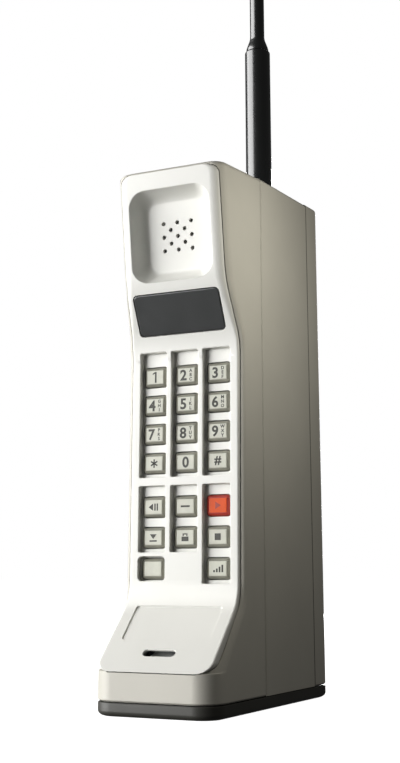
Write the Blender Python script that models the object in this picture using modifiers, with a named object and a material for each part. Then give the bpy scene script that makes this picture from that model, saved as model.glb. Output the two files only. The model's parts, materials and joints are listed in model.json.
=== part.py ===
"""Early mobile brick phone: shells, keypad, electronics, battery pack and aerial.

Sizes are in millimetres and degrees. X runs across the phone, Y from its front to its back and
Z up from the surface it stands on. The origin is under the middle of the body.
"""
import math

import bmesh
import bpy
from mathutils import Matrix, Vector

MM = 0.001

# Body, from the chin at the front to the battery pack at the back
BODY_WIDTH = 44.5
BODY_DEPTH = 94.8
FRONT_SHELL_DEPTH = 39.0
PACK_DEPTH = 12.8
BASE_HEIGHT = 4.6
BASE_CHAMFER = 2.4
EAR_NARROWING = 1.45
TOP_SLOPE = 2.3
SEAM = 0.3
WALL = 2.2

# Front profile, from the bottom up
CHIN_FRONT_HEIGHT = 9.2
CHIN_SLOPE = 45.0
KEY_FACE_SETBACK = 23.0
KEY_SECTION_HEIGHT = 86.1
KEY_FACE_TILT = 0.73
DISPLAY_SECTION_HEIGHT = 19.8
DISPLAY_TILT = 24.5
EAR_SECTION_HEIGHT = 40.3
EAR_TILT = 7.3
PROFILE_BEND = 6.0

# Rounding of the front corners, across and along the depth
CHIN_CORNER = 8.0
KEY_CORNER = 1.6
EAR_CORNER_ACROSS = 4.0
EAR_CORNER_DEEP = 4.4
FRONT_SHOULDER = 2.4
REAR_SHOULDER = 1.2
REAR_CORNER = 3.0

# Faceplate
PLATE_THICKNESS = 3.4
PLATE_PROUD = 0.9
RIDGE = 1.45
PLATE_GAP = 0.3
PLATE_LOW_CORNER = 5.0
PLATE_TOP_CORNER = 3.0
PLATE_EDGE = 0.8
PLATE_EAR_EDGE_ACROSS = 3.0
PLATE_EAR_EDGE_DEEP = 1.9
PLATE_TOP_MARGIN = 1.5

# Keypad
KEY_PITCH = 12.15
ROW_PITCH = 9.98
LOW_ROW_PITCH = 10.27
BLOCK_GAP = 14.8
FIRST_ROW_DROP = 10.9
KEY_WIDTH = 8.4
KEY_HEIGHT = 6.7
KEY_CHAMFER = 0.9
KEY_CLEARANCE = 0.35
KEY_TRAVEL = 1.0
KEY_FLANGE = 0.7
KEY_FLANGE_THICKNESS = 0.8
KEY_PROUD = 0.9
CHANNEL_MARGIN = 0.95
CHANNEL_DEPTH = 2.2
CHANNEL_HEAD = 8.4
LOW_CHANNEL_HEAD = 7.1
CHANNEL_FOOT = 4.9
MAT_THICKNESS = 0.8
BOARD_THICKNESS = 1.6

# Display
LENS_WIDTH = 32.8
LENS_HEIGHT = 14.6
LENS_THICKNESS = 1.6
LENS_LEDGE = 1.4
LED_DEPTH = 4.0
LED_GAP = 1.2

# Ear cup and receiver
CUP_WIDTH = 30.6
CUP_DEPTH = 6.0
CUP_RUN = 4.3
CUP_CORNER = 6.0
CUP_TOP_MARGIN = 7.8
CUP_LOW_MARGIN = 0.6
CUP_WALL = 1.4
SOUND_HOLE = 1.5
SOUND_HOLE_PITCH = 5.4
SOUND_ROW_PITCH = 2.4
RECEIVER_RADIUS = 9.0
RECEIVER_DEPTH = 6.5
GASKET_THICKNESS = 1.0
GASKET_BAND = 2.0

# Chin
MIC_SLOT_WIDTH = 11.6
MIC_SLOT_HEIGHT = 2.7
MIC_SLOT_RISE = 8.05
MIC_RADIUS = 4.8
MIC_DEPTH = 5.0
MIC_CAPSULE_RISE = 0.4
BOOT_WALL = 1.2
LABEL_WIDTH = 32.0
LABEL_HEIGHT = 14.6
LABEL_DEPTH = 0.4
LABEL_ABOVE_SLOT = 5.1

# Electronics
BOARD_MARGIN = 1.0
LOGIC_BOARD_BEHIND_SEAM = 2.4
BOARD_SPACING = 14.0
SHIELD_DEPTH = 12.0
SHIELD_HEIGHT = 66.0
SHIELD_WALL = 0.7
DUPLEXER_DEPTH = 16.0
DUPLEXER_HEIGHT = 44.0
DUPLEXER_WIDTH = 30.0
DUPLEXER_TUNER_RADIUS = 2.0

# Screws that hold the shells together
SCREW_RADIUS = 1.5
SCREW_HEAD_RADIUS = 2.7
SCREW_HEAD = 2.4
SCREW_BITE = 4.5
SCREW_CLEARANCE = 0.3
BOSS_WALL = 1.9
BOSS_INSET = 4.3
SCREW_END_MARGIN = 15.5

# Battery pack
PACK_WALL = 1.7
LID_THICKNESS = 1.4
CELL_COUNT = 6
CELL_GAP = 0.4
CELL_SIDE_MARGIN = 5.5
CELL_LOW_MARGIN = 3.6
CELL_TOP_MARGIN = 4.7
CELL_EDGE = 1.2
PACK_TRAVEL = 7.0
HOOK_WIDTH = 3.0
HOOK_HEIGHT = 8.0
HOOK_THICKNESS = 1.4
HOOK_STEM = 2.0
HOOK_INSET = 4.85
HOOK_LOW_MARGIN = 30.0
HOOK_RISE = 100.0
TERMINAL_SPACING = 12.0
TERMINAL_WIDTH = 4.0
TERMINAL_HEIGHT = 8.0
TERMINAL_TOP_MARGIN = 19.0

# Catch in the back of the pack
CATCH_WIDTH = 14.0
CATCH_HEIGHT = 8.0
CATCH_TRAVEL = 2.5
CATCH_RECESS = 0.4
CATCH_TOP_MARGIN = 12.5
CATCH_FLANGE = 2.4
CATCH_FLANGE_THICKNESS = 1.0
CATCH_TOOTH_WIDTH = 6.0
CATCH_TOOTH_HEIGHT = 2.0
SPRING_RADIUS = 1.35
SPRING_WIRE = 0.25
SPRING_LENGTH = 7.7
SPRING_TURNS = 6
SPRING_SEAT = 1.2

# Aerial
AERIAL_OFFSET = 9.6
AERIAL_FROM_PACK = 15.7
SLEEVE_RADIUS = 4.9
SLEEVE_HEIGHT = 59.5
SLEEVE_TAPER = 6.2
SLEEVE_HEAD_CHAMFER = 0.5
SLEEVE_FOOT_CHAMFER = 0.6
WHIP_RADIUS = 2.8
AERIAL_HEIGHT = 145.4
CORE_RADIUS = 1.8
STUD_RADIUS = 2.6
STUD_LENGTH = 9.0
SOCKET_RADIUS = 4.5
SOCKET_FLANGE = 1.5
SOCKET_FLANGE_THICKNESS = 1.2
COAX_RADIUS = 1.1

GAP = 0.3
# A joined shape stops this far short of a face that it would otherwise share
FLUSH = 0.001
BIG = 60.0

# Values worked out from the sizes above
HALF_WIDTH = BODY_WIDTH / 2
FRONT_Y = -BODY_DEPTH / 2
REAR_Y = BODY_DEPTH / 2
SEAM_1 = FRONT_Y + FRONT_SHELL_DEPTH
SEAM_2 = REAR_Y - PACK_DEPTH
SHELL_BACK = SEAM_1 - SEAM / 2
MID_FRONT = SEAM_1 + SEAM / 2
MID_BACK = SEAM_2 - SEAM / 2
PACK_FRONT = SEAM_2 + SEAM / 2
CHIN_TOP_Z = BASE_HEIGHT + CHIN_FRONT_HEIGHT
KEY_TOP_Y = FRONT_Y + KEY_FACE_SETBACK
KEY_RISE = math.tan(math.radians(KEY_FACE_TILT))
KEY_LOW_Y = KEY_TOP_Y - KEY_SECTION_HEIGHT * KEY_RISE
KEY_LOW_Z = CHIN_TOP_Z + (KEY_LOW_Y - FRONT_Y) / math.tan(math.radians(CHIN_SLOPE))
KEY_TOP_Z = KEY_LOW_Z + KEY_SECTION_HEIGHT
EAR_LOW_Z = KEY_TOP_Z + DISPLAY_SECTION_HEIGHT
EAR_LOW_Y = KEY_TOP_Y - DISPLAY_SECTION_HEIGHT * math.tan(math.radians(DISPLAY_TILT))
EAR_TOP_Z = EAR_LOW_Z + EAR_SECTION_HEIGHT
EAR_TOP_Y = EAR_LOW_Y - EAR_SECTION_HEIGHT * math.tan(math.radians(EAR_TILT))
TOP_RISE = math.tan(math.radians(TOP_SLOPE))
CHANNEL_WIDTH = KEY_WIDTH + 2 * CHANNEL_MARGIN
ROWS = [-FIRST_ROW_DROP - ROW_PITCH * row for row in range(4)]
ROWS += [ROWS[3] - BLOCK_GAP - LOW_ROW_PITCH * row for row in range(3)]
COLUMNS = [-KEY_PITCH, 0.0, KEY_PITCH]
KEY_NAMES = [
    ["key_1", "key_2", "key_3"],
    ["key_4", "key_5", "key_6"],
    ["key_7", "key_8", "key_9"],
    ["key_star", "key_0", "key_hash"],
    ["key_recall", "key_clear", "key_send"],
    ["key_store", "key_lock", "key_end"],
    ["key_power", None, "key_volume"],
]


def top_z(y):
    """Height of the sloping top at a depth."""
    return EAR_TOP_Z + (y - EAR_TOP_Y) * TOP_RISE


def rounded_profile(corners, bend, steps):
    """Corner points (z, y) with each inner corner replaced by a short curve."""
    points = [corners[0]]
    for before, corner, after in zip(corners, corners[1:], corners[2:]):
        here = Vector(corner)
        start = here + (Vector(before) - here).normalized() * bend
        end = here + (Vector(after) - here).normalized() * bend
        for step in range(steps + 1):
            t = step / steps
            point = start * (1 - t) ** 2 + here * 2 * t * (1 - t) + end * t ** 2
            points.append((point.x, point.y))
    points.append(corners[-1])
    return points


FACE_CORNERS = [
    (CHIN_TOP_Z, FRONT_Y),
    (KEY_LOW_Z, KEY_LOW_Y),
    (KEY_TOP_Z, KEY_TOP_Y),
    (EAR_LOW_Z, EAR_LOW_Y),
    (EAR_TOP_Z, EAR_TOP_Y),
]
FACE_PROFILE = rounded_profile(FACE_CORNERS, PROFILE_BEND, 2)


def between(value, table):
    """Value read from a table of (position, value) pairs, straight between them."""
    if value <= table[0][0]:
        return table[0][1]
    for (low, first), (high, second) in zip(table, table[1:]):
        if value <= high:
            return first + (second - first) * (value - low) / (high - low)
    return table[-1][1]


def face_y(z):
    """Depth of the faceplate's front surface at a height."""
    return between(z, FACE_PROFILE)


def shell_front_y(z):
    """Depth of the front shell's rim at a height."""
    return max(FRONT_Y, face_y(z) + PLATE_PROUD) if z > CHIN_TOP_Z else FRONT_Y


def shell_half(z):
    """Half the front shell's width at its front edge."""
    return between(z, [(KEY_TOP_Z, HALF_WIDTH), (EAR_LOW_Z, HALF_WIDTH - EAR_NARROWING)])


def corner_across(z):
    return between(z, [
        (CHIN_TOP_Z, CHIN_CORNER),
        (KEY_LOW_Z + PROFILE_BEND, KEY_CORNER),
        (KEY_TOP_Z, KEY_CORNER),
        (EAR_LOW_Z, EAR_CORNER_ACROSS),
    ])


def corner_deep(z):
    return between(z, [
        (CHIN_TOP_Z, CHIN_CORNER),
        (KEY_LOW_Z + PROFILE_BEND, KEY_CORNER),
        (KEY_TOP_Z, KEY_CORNER),
        (EAR_LOW_Z, EAR_CORNER_DEEP),
    ])


def plate_half(z):
    """Half the faceplate's width, with its four corners rounded."""
    half = shell_half(z) - RIDGE - PLATE_GAP
    above_foot = (z - CHIN_TOP_Z) / math.cos(math.radians(CHIN_SLOPE))
    below_head = EAR_TOP_Z - PLATE_TOP_MARGIN - z
    for distance, radius in ((above_foot, PLATE_LOW_CORNER), (below_head, PLATE_TOP_CORNER)):
        short = max(0.0, radius - max(0.0, distance))
        half -= radius - math.sqrt(max(0.0, radius ** 2 - short ** 2))
    return half


# Collections and materials


def clear_scene():
    for old in list(bpy.data.objects):
        bpy.data.objects.remove(old)


def collection(name):
    group = bpy.data.collections.new(name)
    bpy.context.scene.collection.children.link(group)
    return group


clear_scene()
PARTS = collection("brick_phone")
CUTTERS = collection("cutters")

FINISHES = {
    "cream_plastic": ((0.80, 0.79, 0.75), 0.45, 0.0),
    "taupe_plastic": ((0.42, 0.40, 0.35), 0.55, 0.0),
    "base_plastic": ((0.05, 0.048, 0.042), 0.6, 0.0),
    "key_plastic": ((0.55, 0.55, 0.48), 0.5, 0.0),
    "red_plastic": ((0.80, 0.10, 0.05), 0.45, 0.0),
    "smoked_lens": ((0.03, 0.03, 0.035), 0.15, 0.0),
    "black_gloss": ((0.015, 0.015, 0.017), 0.25, 0.0),
    "black_rubber": ((0.03, 0.03, 0.03), 0.8, 0.0),
    "board_green": ((0.03, 0.18, 0.07), 0.5, 0.0),
    "steel": ((0.60, 0.60, 0.58), 0.35, 1.0),
    "brass": ((0.72, 0.52, 0.22), 0.35, 1.0),
    "aluminium": ((0.72, 0.72, 0.72), 0.4, 1.0),
    "cell_wrap": ((0.08, 0.20, 0.35), 0.5, 0.0),
    "led_red": ((0.30, 0.02, 0.02), 0.3, 0.0),
}


def finish(obj, name):
    """Give an object its own material in a named finish."""
    colour, roughness, metallic = FINISHES[name]
    material = bpy.data.materials.new(obj.name + "_" + name)
    material.use_nodes = True
    shader = material.node_tree.nodes["Principled BSDF"]
    shader.inputs["Base Color"].default_value = (*colour, 1.0)
    shader.inputs["Roughness"].default_value = roughness
    shader.inputs["Metallic"].default_value = metallic
    obj.data.materials.clear()
    obj.data.materials.append(material)
    return obj


# Shapes


def empty(name, matrix):
    """A reference frame that pieces are parented to."""
    frame = bpy.data.objects.new(name, None)
    frame.empty_display_size = 10 * MM
    frame.matrix_world = matrix
    PARTS.objects.link(frame)
    return frame


def place(name, mesh, group, centre=(0, 0, 0), parent=None, turn=None):
    obj = bpy.data.objects.new(name, mesh)
    group.objects.link(obj)
    obj.location = Vector(centre) * MM
    if turn:
        obj.rotation_euler = [math.radians(angle) for angle in turn]
    obj.parent = parent
    if group is CUTTERS:
        obj.hide_render = True
        obj.display_type = "WIRE"
    return obj


def mesh_of(work, name, smooth=False):
    mesh = bpy.data.meshes.new(name)
    work.to_mesh(mesh)
    work.free()
    if smooth:
        mesh.shade_smooth()
        mesh.set_sharp_from_angle(angle=math.radians(35))
    return mesh


def block(name, x, y, z, group=PARTS, parent=None, bevel=0.0):
    """A box between two values on each axis, with its origin at its middle."""
    size = [high - low for low, high in (x, y, z)]
    centre = [(low + high) / 2 for low, high in (x, y, z)]
    work = bmesh.new()
    bmesh.ops.create_cube(work, size=1.0)
    bmesh.ops.scale(work, vec=Vector(size) * MM, verts=work.verts)
    obj = place(name, mesh_of(work, name), group, centre, parent)
    if bevel:
        edge = obj.modifiers.new("edge", "BEVEL")
        edge.width = bevel * MM
        edge.segments = 2
        edge.limit_method = "ANGLE"
    return obj


def rod(name, radius, length, centre, group=PARTS, parent=None, turn=None, sides=16):
    """A cylinder along its own Z, turned about its middle."""
    work = bmesh.new()
    bmesh.ops.create_cone(
        work, cap_ends=True, segments=sides,
        radius1=radius * MM, radius2=radius * MM, depth=length * MM)
    return place(name, mesh_of(work, name, smooth=True), group, centre, parent, turn)


def turned(name, profile, parent, steps=24):
    """A solid or a sleeve turned about Z from (radius, height) points, top to bottom."""
    work = bmesh.new()
    corners = [work.verts.new((radius * MM, 0, height * MM)) for radius, height in profile]
    for first, second in zip(corners, corners[1:]):
        work.edges.new((first, second))
    if profile[0][0] > 0:
        work.edges.new((corners[-1], corners[0]))
    obj = place(name, mesh_of(work, name), PARTS, parent=parent)
    screw = obj.modifiers.new("turn", "SCREW")
    screw.steps = steps
    screw.render_steps = steps
    screw.use_merge_vertices = True
    screw.merge_threshold = 0.00001
    screw.use_smooth_shade = False
    return obj


def loft(name, rings, group=PARTS, parent=None):
    """A closed solid through rings of equally many points."""
    work = bmesh.new()
    loops = [[work.verts.new(Vector(point) * MM) for point in ring] for ring in rings]
    count = len(loops[0])
    for low, high in zip(loops, loops[1:]):
        for index in range(count):
            after = (index + 1) % count
            work.faces.new((low[index], low[after], high[after], high[index]))
    work.faces.new(list(reversed(loops[0])))
    work.faces.new(loops[-1])
    bmesh.ops.recalc_face_normals(work, faces=work.faces)
    return place(name, mesh_of(work, name, smooth=True), group, parent=parent)


def arc(centre_x, centre_y, across, deep, start, end, steps):
    """Points of a quarter of an ellipse."""
    points = []
    for step in range(steps + 1):
        angle = math.radians(start + (end - start) * step / steps)
        points.append((centre_x + across * math.cos(angle), centre_y + deep * math.sin(angle)))
    return points


def section(half_front, half_back, front, back, across, deep, rear, z, rise=0.0, steps=4):
    """One level of a shell: rounded front corners, and rear corners with radius rear."""
    side = arc(half_front - across, front + deep, across, deep, -90, 0, steps)
    if rear:
        side += arc(half_back - rear, back - rear, rear, rear, 0, 90, steps)
    else:
        side.append((half_back, back))
    outline = side + [(-x, y) for x, y in reversed(side)]
    return [(x, y, z + (y - EAR_TOP_Y) * rise) for x, y in outline]


def cut(target, tool):
    """Take a tool's shape out of a piece."""
    change = target.modifiers.new("cut_" + tool.name, "BOOLEAN")
    change.operation = "DIFFERENCE"
    change.object = tool
    change.solver = "EXACT"


def join(target, tool):
    """Add a tool's shape to a piece."""
    change = target.modifiers.new("join_" + tool.name, "BOOLEAN")
    change.operation = "UNION"
    change.object = tool
    change.solver = "EXACT"


def panel_frame(name, top, low):
    """A frame on a face of the front: X across, Y up the face, Z out of it, origin at its top."""
    up = Vector((0, top[1] - low[1], top[0] - low[0])).normalized()
    across = Vector((1, 0, 0))
    out = across.cross(up)
    matrix = Matrix((across, up, out)).transposed().to_4x4()
    matrix.translation = Vector((0, top[1], top[0])) * MM
    return empty(name, matrix)


def face_length(low, top):
    return (Vector(top) - Vector(low)).length


# Shells


def front_section(z, inset=0.0, rise=0.0):
    half = shell_half(z) - inset
    return section(
        half, HALF_WIDTH - inset, shell_front_y(z) + inset, SHELL_BACK,
        corner_across(z), corner_deep(z), 0, z, rise)


def front_cavity_section(z, rise=0.0):
    """The hollow of the front shell, which opens into the seat of the faceplate."""
    half = plate_half(CHIN_TOP_Z + CHIN_CORNER) if z < KEY_LOW_Z else shell_half(z) - RIDGE - PLATE_GAP
    half -= 0.8
    front = max(FRONT_Y + WALL, face_y(z) + PLATE_THICKNESS - 0.8)
    corner = min(CHIN_CORNER - WALL, corner_deep(z))
    return section(half, HALF_WIDTH - WALL, front, SHELL_BACK + BIG / 10, corner, corner, 0, z, rise)


def plate_section(z, margin=0.0, behind=0.0, ahead=0.0):
    half = plate_half(z) + margin
    across = between(z, [(KEY_TOP_Z, PLATE_EDGE), (EAR_LOW_Z, PLATE_EAR_EDGE_ACROSS)])
    deep = between(z, [(KEY_TOP_Z, PLATE_EDGE), (EAR_LOW_Z, PLATE_EAR_EDGE_DEEP)])
    front = face_y(z) - ahead
    return section(half, half, front, face_y(z) + PLATE_THICKNESS + behind, across, deep, 0, z)


def plate_levels():
    """Heights of the faceplate's sections, closer together round its corners."""
    head = EAR_TOP_Z - PLATE_TOP_MARGIN
    foot_step = PLATE_LOW_CORNER * math.cos(math.radians(CHIN_SLOPE))
    foot = [CHIN_TOP_Z + foot_step * (1 - math.cos(math.radians(angle))) for angle in (0, 35, 60, 90)]
    top = [head - PLATE_TOP_CORNER * (1 - math.cos(math.radians(angle))) for angle in (90, 60, 35, 0)]
    middle = [z for z, _ in FACE_PROFILE if foot[-1] + 0.5 < z < top[0] - 0.5]
    return foot + middle + top


def build_front_shell():
    chin_step = 1.0
    levels = [BASE_HEIGHT, CHIN_TOP_Z, CHIN_TOP_Z + chin_step]
    levels += [z for z, _ in FACE_PROFILE if CHIN_TOP_Z + 2 * chin_step < z < EAR_TOP_Z - 2 * FRONT_SHOULDER]
    rings = [front_section(z) for z in levels]
    rings.append(front_section(EAR_TOP_Z - FRONT_SHOULDER, rise=TOP_RISE))
    rings.append(front_section(EAR_TOP_Z - 0.3 * FRONT_SHOULDER, 0.3 * FRONT_SHOULDER, TOP_RISE))
    rings.append(front_section(EAR_TOP_Z, FRONT_SHOULDER, TOP_RISE))
    shell = finish(loft("front_shell", rings), "taupe_plastic")

    low = BASE_HEIGHT + WALL
    levels = [low, CHIN_TOP_Z]
    levels += [z for z, _ in FACE_PROFILE if CHIN_TOP_Z + 1 < z < EAR_TOP_Z - 2 * WALL]
    rings = [front_cavity_section(z) for z in levels]
    rings.append(front_cavity_section(EAR_TOP_Z - WALL - 0.6, TOP_RISE))
    cut(shell, loft("front_hollow", rings, CUTTERS))

    seat = [plate_section(CHIN_TOP_Z - PLATE_GAP, PLATE_GAP, PLATE_GAP, BIG / 10)]
    seat += [plate_section(z, PLATE_GAP, PLATE_GAP, BIG / 10) for z in plate_levels()]
    seat.append(plate_section(EAR_TOP_Z - PLATE_TOP_MARGIN + PLATE_GAP, PLATE_GAP, PLATE_GAP, BIG / 10))
    cut(shell, loft("plate_seat", seat, CUTTERS))
    return shell


def mid_section(z, inset=0.0, rise=0.0):
    half = HALF_WIDTH - inset
    return section(half, half, MID_FRONT, MID_BACK, 0.4, 0.4, 0, z, rise, steps=1)


def build_mid_shell():
    rings = [mid_section(BASE_HEIGHT)]
    rings.append(mid_section(EAR_TOP_Z - REAR_SHOULDER, 0.0, TOP_RISE))
    rings.append(mid_section(EAR_TOP_Z, REAR_SHOULDER, TOP_RISE))
    shell = finish(loft("mid_shell", rings), "taupe_plastic")
    half = HALF_WIDTH - WALL
    hollow = [
        section(half, half, MID_FRONT - BIG / 10, MID_BACK - WALL, 0.4, 0.4, 0, z, rise, steps=1)
        for z, rise in ((BASE_HEIGHT + WALL, 0.0), (EAR_TOP_Z - WALL, TOP_RISE))]
    cut(shell, loft("mid_hollow", hollow, CUTTERS))
    return shell


def pack_section(z, inset=0.0, rise=0.0):
    half = HALF_WIDTH - inset
    return section(half, half, PACK_FRONT, REAR_Y - inset, 0.4, 0.4, REAR_CORNER, z, rise)


def pack_hollow_top(y):
    return top_z(y) - PACK_WALL


def build_pack_case(pack):
    rings = [pack_section(BASE_HEIGHT)]
    rings.append(pack_section(EAR_TOP_Z - REAR_SHOULDER, 0.0, TOP_RISE))
    rings.append(pack_section(EAR_TOP_Z, REAR_SHOULDER, TOP_RISE))
    case = finish(loft("battery_case", rings, parent=pack), "taupe_plastic")
    half = HALF_WIDTH - PACK_WALL
    corner = REAR_CORNER - PACK_WALL
    hollow = [
        section(half, half, PACK_FRONT - BIG / 10, REAR_Y - PACK_WALL, 0.4, 0.4, corner, z, rise)
        for z, rise in ((BASE_HEIGHT + PACK_WALL, 0.0), (EAR_TOP_Z - PACK_WALL, TOP_RISE))]
    cut(case, loft("pack_hollow", hollow, CUTTERS, pack))
    return case


def base_section(z, inset):
    half = HALF_WIDTH - inset
    return section(
        half, half, FRONT_Y + inset, REAR_Y - inset,
        CHIN_CORNER - inset, CHIN_CORNER - inset, REAR_CORNER, z)


def build_base():
    rings = [
        base_section(0.0, BASE_CHAMFER),
        base_section(BASE_CHAMFER * 0.75, 0.3),
        base_section(BASE_HEIGHT - SEAM, 0.0),
    ]
    return finish(loft("base_cap", rings), "base_plastic")


# Faceplate, with everything that is let into it


def build_faceplate():
    plate = loft("faceplate", [plate_section(z) for z in plate_levels()])
    return finish(plate, "cream_plastic")


def key_column_cuts(plate, keypad):
    """The sunk channels that the keys stand in, and the pocket of the key on its own."""
    half = CHANNEL_WIDTH / 2
    depth = (-CHANNEL_DEPTH, BIG / 10)
    low_ends = [ROWS[5], ROWS[5], ROWS[6]]
    for number, (x, low_row) in enumerate(zip(COLUMNS, low_ends), start=1):
        across = (x - half, x + half)
        upper = (ROWS[3] - CHANNEL_FOOT, ROWS[0] + CHANNEL_HEAD)
        lower = (low_row - CHANNEL_FOOT, ROWS[4] + LOW_CHANNEL_HEAD)
        cut(plate, block(f"upper_channel_{number}", across, upper, depth, CUTTERS, keypad))
        cut(plate, block(f"lower_channel_{number}", across, lower, depth, CUTTERS, keypad))
    pocket_x = (COLUMNS[0] - half, COLUMNS[0] + half)
    pocket_y = (ROWS[6] - KEY_HEIGHT / 2 - 0.7, ROWS[6] + KEY_HEIGHT / 2 + 0.7)
    cut(plate, block("single_key_pocket", pocket_x, pocket_y, depth, CUTTERS, keypad))


def key_places():
    for row, names in enumerate(KEY_NAMES):
        for column, name in enumerate(names):
            if name:
                yield name, COLUMNS[column], ROWS[row]


def key_windows(plate, keypad):
    half_x = KEY_WIDTH / 2 + KEY_CLEARANCE
    half_y = KEY_HEIGHT / 2 + KEY_CLEARANCE
    for name, x, y in key_places():
        window = block(
            "window_" + name, (x - half_x, x + half_x), (y - half_y, y + half_y),
            (-BIG / 6, BIG / 10), CUTTERS, keypad)
        cut(plate, window)


def build_keys(keypad):
    """Each key is a chamfered cap with a flange that keeps it behind the faceplate."""
    face = KEY_PROUD - CHANNEL_DEPTH
    flange_top = -PLATE_THICKNESS - GAP
    flange_low = flange_top - KEY_FLANGE_THICKNESS
    for name, x, y in key_places():
        half_x = KEY_WIDTH / 2
        half_y = KEY_HEIGHT / 2
        key = block(
            name, (x - half_x, x + half_x), (y - half_y, y + half_y), (flange_low, face),
            parent=keypad)
        chamfer_top(key, KEY_CHAMFER)
        flange = block(
            "flange_" + name,
            (x - half_x - KEY_FLANGE, x + half_x + KEY_FLANGE),
            (y - half_y - KEY_FLANGE, y + half_y + KEY_FLANGE),
            (flange_low + FLUSH, flange_top), CUTTERS, keypad)
        join(key, flange)
        finish(key, "red_plastic" if name == "key_send" else "key_plastic")


def chamfer_top(obj, width):
    """Chamfer the four edges of a box's upper face."""
    mesh = obj.data
    weights = mesh.attributes.new("bevel_weight_edge", "FLOAT", "EDGE")
    for edge in mesh.edges:
        is_top = all(mesh.vertices[index].co.z > 0 for index in edge.vertices)
        weights.data[edge.index].value = 1.0 if is_top else 0.0
    bevel = obj.modifiers.new("chamfer", "BEVEL")
    bevel.limit_method = "WEIGHT"
    bevel.width = width * MM
    bevel.segments = 1


def lens_cuts(plate, display, length):
    """A seat for the lens and a smaller window behind it."""
    middle = -length / 2
    half_x = LENS_WIDTH / 2 + GAP
    half_y = LENS_HEIGHT / 2 + GAP
    seat_depth = LENS_THICKNESS + GAP
    seat = block(
        "lens_seat", (-half_x, half_x), (middle - half_y, middle + half_y),
        (-seat_depth, BIG / 10), CUTTERS, display)
    cut(plate, seat)
    half_x -= LENS_LEDGE
    half_y -= LENS_LEDGE
    window = block(
        "lens_window", (-half_x, half_x), (middle - half_y, middle + half_y),
        (-BIG / 6, BIG / 10), CUTTERS, display)
    cut(plate, window)


def build_display(display, length):
    middle = -length / 2
    half_x = LENS_WIDTH / 2
    half_y = LENS_HEIGHT / 2
    lens = block(
        "display_lens", (-half_x, half_x), (middle - half_y, middle + half_y),
        (-LENS_THICKNESS, 0), parent=display)
    finish(lens, "smoked_lens")
    front = -PLATE_THICKNESS - LED_GAP
    led = block(
        "led_display", (LENS_LEDGE * 2 - half_x, half_x - LENS_LEDGE * 2),
        (middle - half_y + LENS_LEDGE, middle + half_y - LENS_LEDGE),
        (front - LED_DEPTH, front), parent=display, bevel=0.4)
    finish(led, "led_red")


def cup_ring(depth, run, outset, length):
    """One level of the ear cup: a rounded rectangle that shrinks as it goes in."""
    half = CUP_WIDTH / 2 - run + outset
    top = -CUP_TOP_MARGIN - run + outset
    low = -length + CUP_LOW_MARGIN + run - outset
    radius = CUP_CORNER - run * 0.5 + outset
    outline = []
    for x, y, start in ((half, top, 0), (-half, top, 90), (-half, low, 180), (half, low, 270)):
        middle_x = x - math.copysign(radius, x)
        middle_y = y - radius if start < 180 else y + radius
        outline += arc(middle_x, middle_y, radius, radius, start, start + 90, 3)
    return [(x, y, -depth) for x, y in outline]


def ear_cup(plate, ear, length):
    """The ear cup: a wall behind the faceplate, the hollow inside it and the sound holes."""
    floor = CUP_DEPTH
    boss = [
        cup_ring(PLATE_THICKNESS * 0.6, CUP_RUN * 0.3, CUP_WALL, length),
        cup_ring(floor + CUP_WALL, CUP_RUN, CUP_WALL, length),
    ]
    join(plate, loft("ear_cup_wall", boss, CUTTERS, ear))
    hollow = [
        cup_ring(-CUP_WALL, -CUP_RUN * CUP_WALL / CUP_DEPTH, 0, length),
        cup_ring(0, 0, 0, length),
        cup_ring(floor * 0.8, CUP_RUN * 0.65, 0, length),
        cup_ring(floor, CUP_RUN, 0, length),
    ]
    cut(plate, loft("ear_cup_hollow", hollow, CUTTERS, ear))
    middle = cup_middle(length)
    for row in range(-2, 3):
        places = (-1, 0, 1) if row % 2 == 0 else (-0.5, 0.5)
        for place_x in places:
            hole = rod(
                f"sound_hole_{row + 2}_{int(place_x * 2 + 2)}", SOUND_HOLE / 2, CUP_WALL * 4,
                (place_x * SOUND_HOLE_PITCH, middle + row * SOUND_ROW_PITCH, -floor),
                CUTTERS, ear, sides=8)
            cut(plate, hole)


def cup_middle(length):
    return (-CUP_TOP_MARGIN - length + CUP_LOW_MARGIN) / 2


def build_receiver(ear, length):
    """The gasket and the receiver that sit on the back of the ear cup."""
    back = -CUP_DEPTH - CUP_WALL - GAP
    frame = empty("receiver_frame", Matrix.Identity(4))
    frame.parent = ear
    frame.location = Vector((0, cup_middle(length), 0)) * MM
    inner = RECEIVER_RADIUS - GASKET_BAND
    low = back - GASKET_THICKNESS
    gasket = turned(
        "earpiece_gasket",
        [(RECEIVER_RADIUS, back), (RECEIVER_RADIUS, low), (inner, low), (inner, back)], frame, 20)
    finish(gasket, "black_rubber")
    front = low - GAP
    magnet = RECEIVER_RADIUS * 0.6
    step = front - RECEIVER_DEPTH * 0.6
    receiver = turned(
        "earpiece_receiver",
        [(0, front), (RECEIVER_RADIUS, front), (RECEIVER_RADIUS, step), (magnet, step),
         (magnet, front - RECEIVER_DEPTH), (0, front - RECEIVER_DEPTH)], frame, 20)
    finish(receiver, "steel")


def chin_cuts(plate, chin, length):
    """The microphone slot and the shallow panel above it."""
    slot_y = -length + MIC_SLOT_RISE
    half = MIC_SLOT_WIDTH / 2
    slot = block(
        "microphone_slot", (-half, half), (slot_y - MIC_SLOT_HEIGHT / 2, slot_y + MIC_SLOT_HEIGHT / 2),
        (-BIG / 10, BIG / 10), CUTTERS, chin)
    cut(plate, slot)
    label_low = slot_y + LABEL_ABOVE_SLOT
    panel = block(
        "label_panel", (-LABEL_WIDTH / 2, LABEL_WIDTH / 2), (label_low, label_low + LABEL_HEIGHT),
        (-LABEL_DEPTH, BIG / 10), CUTTERS, chin)
    cut(plate, panel)
    return slot_y


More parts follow.
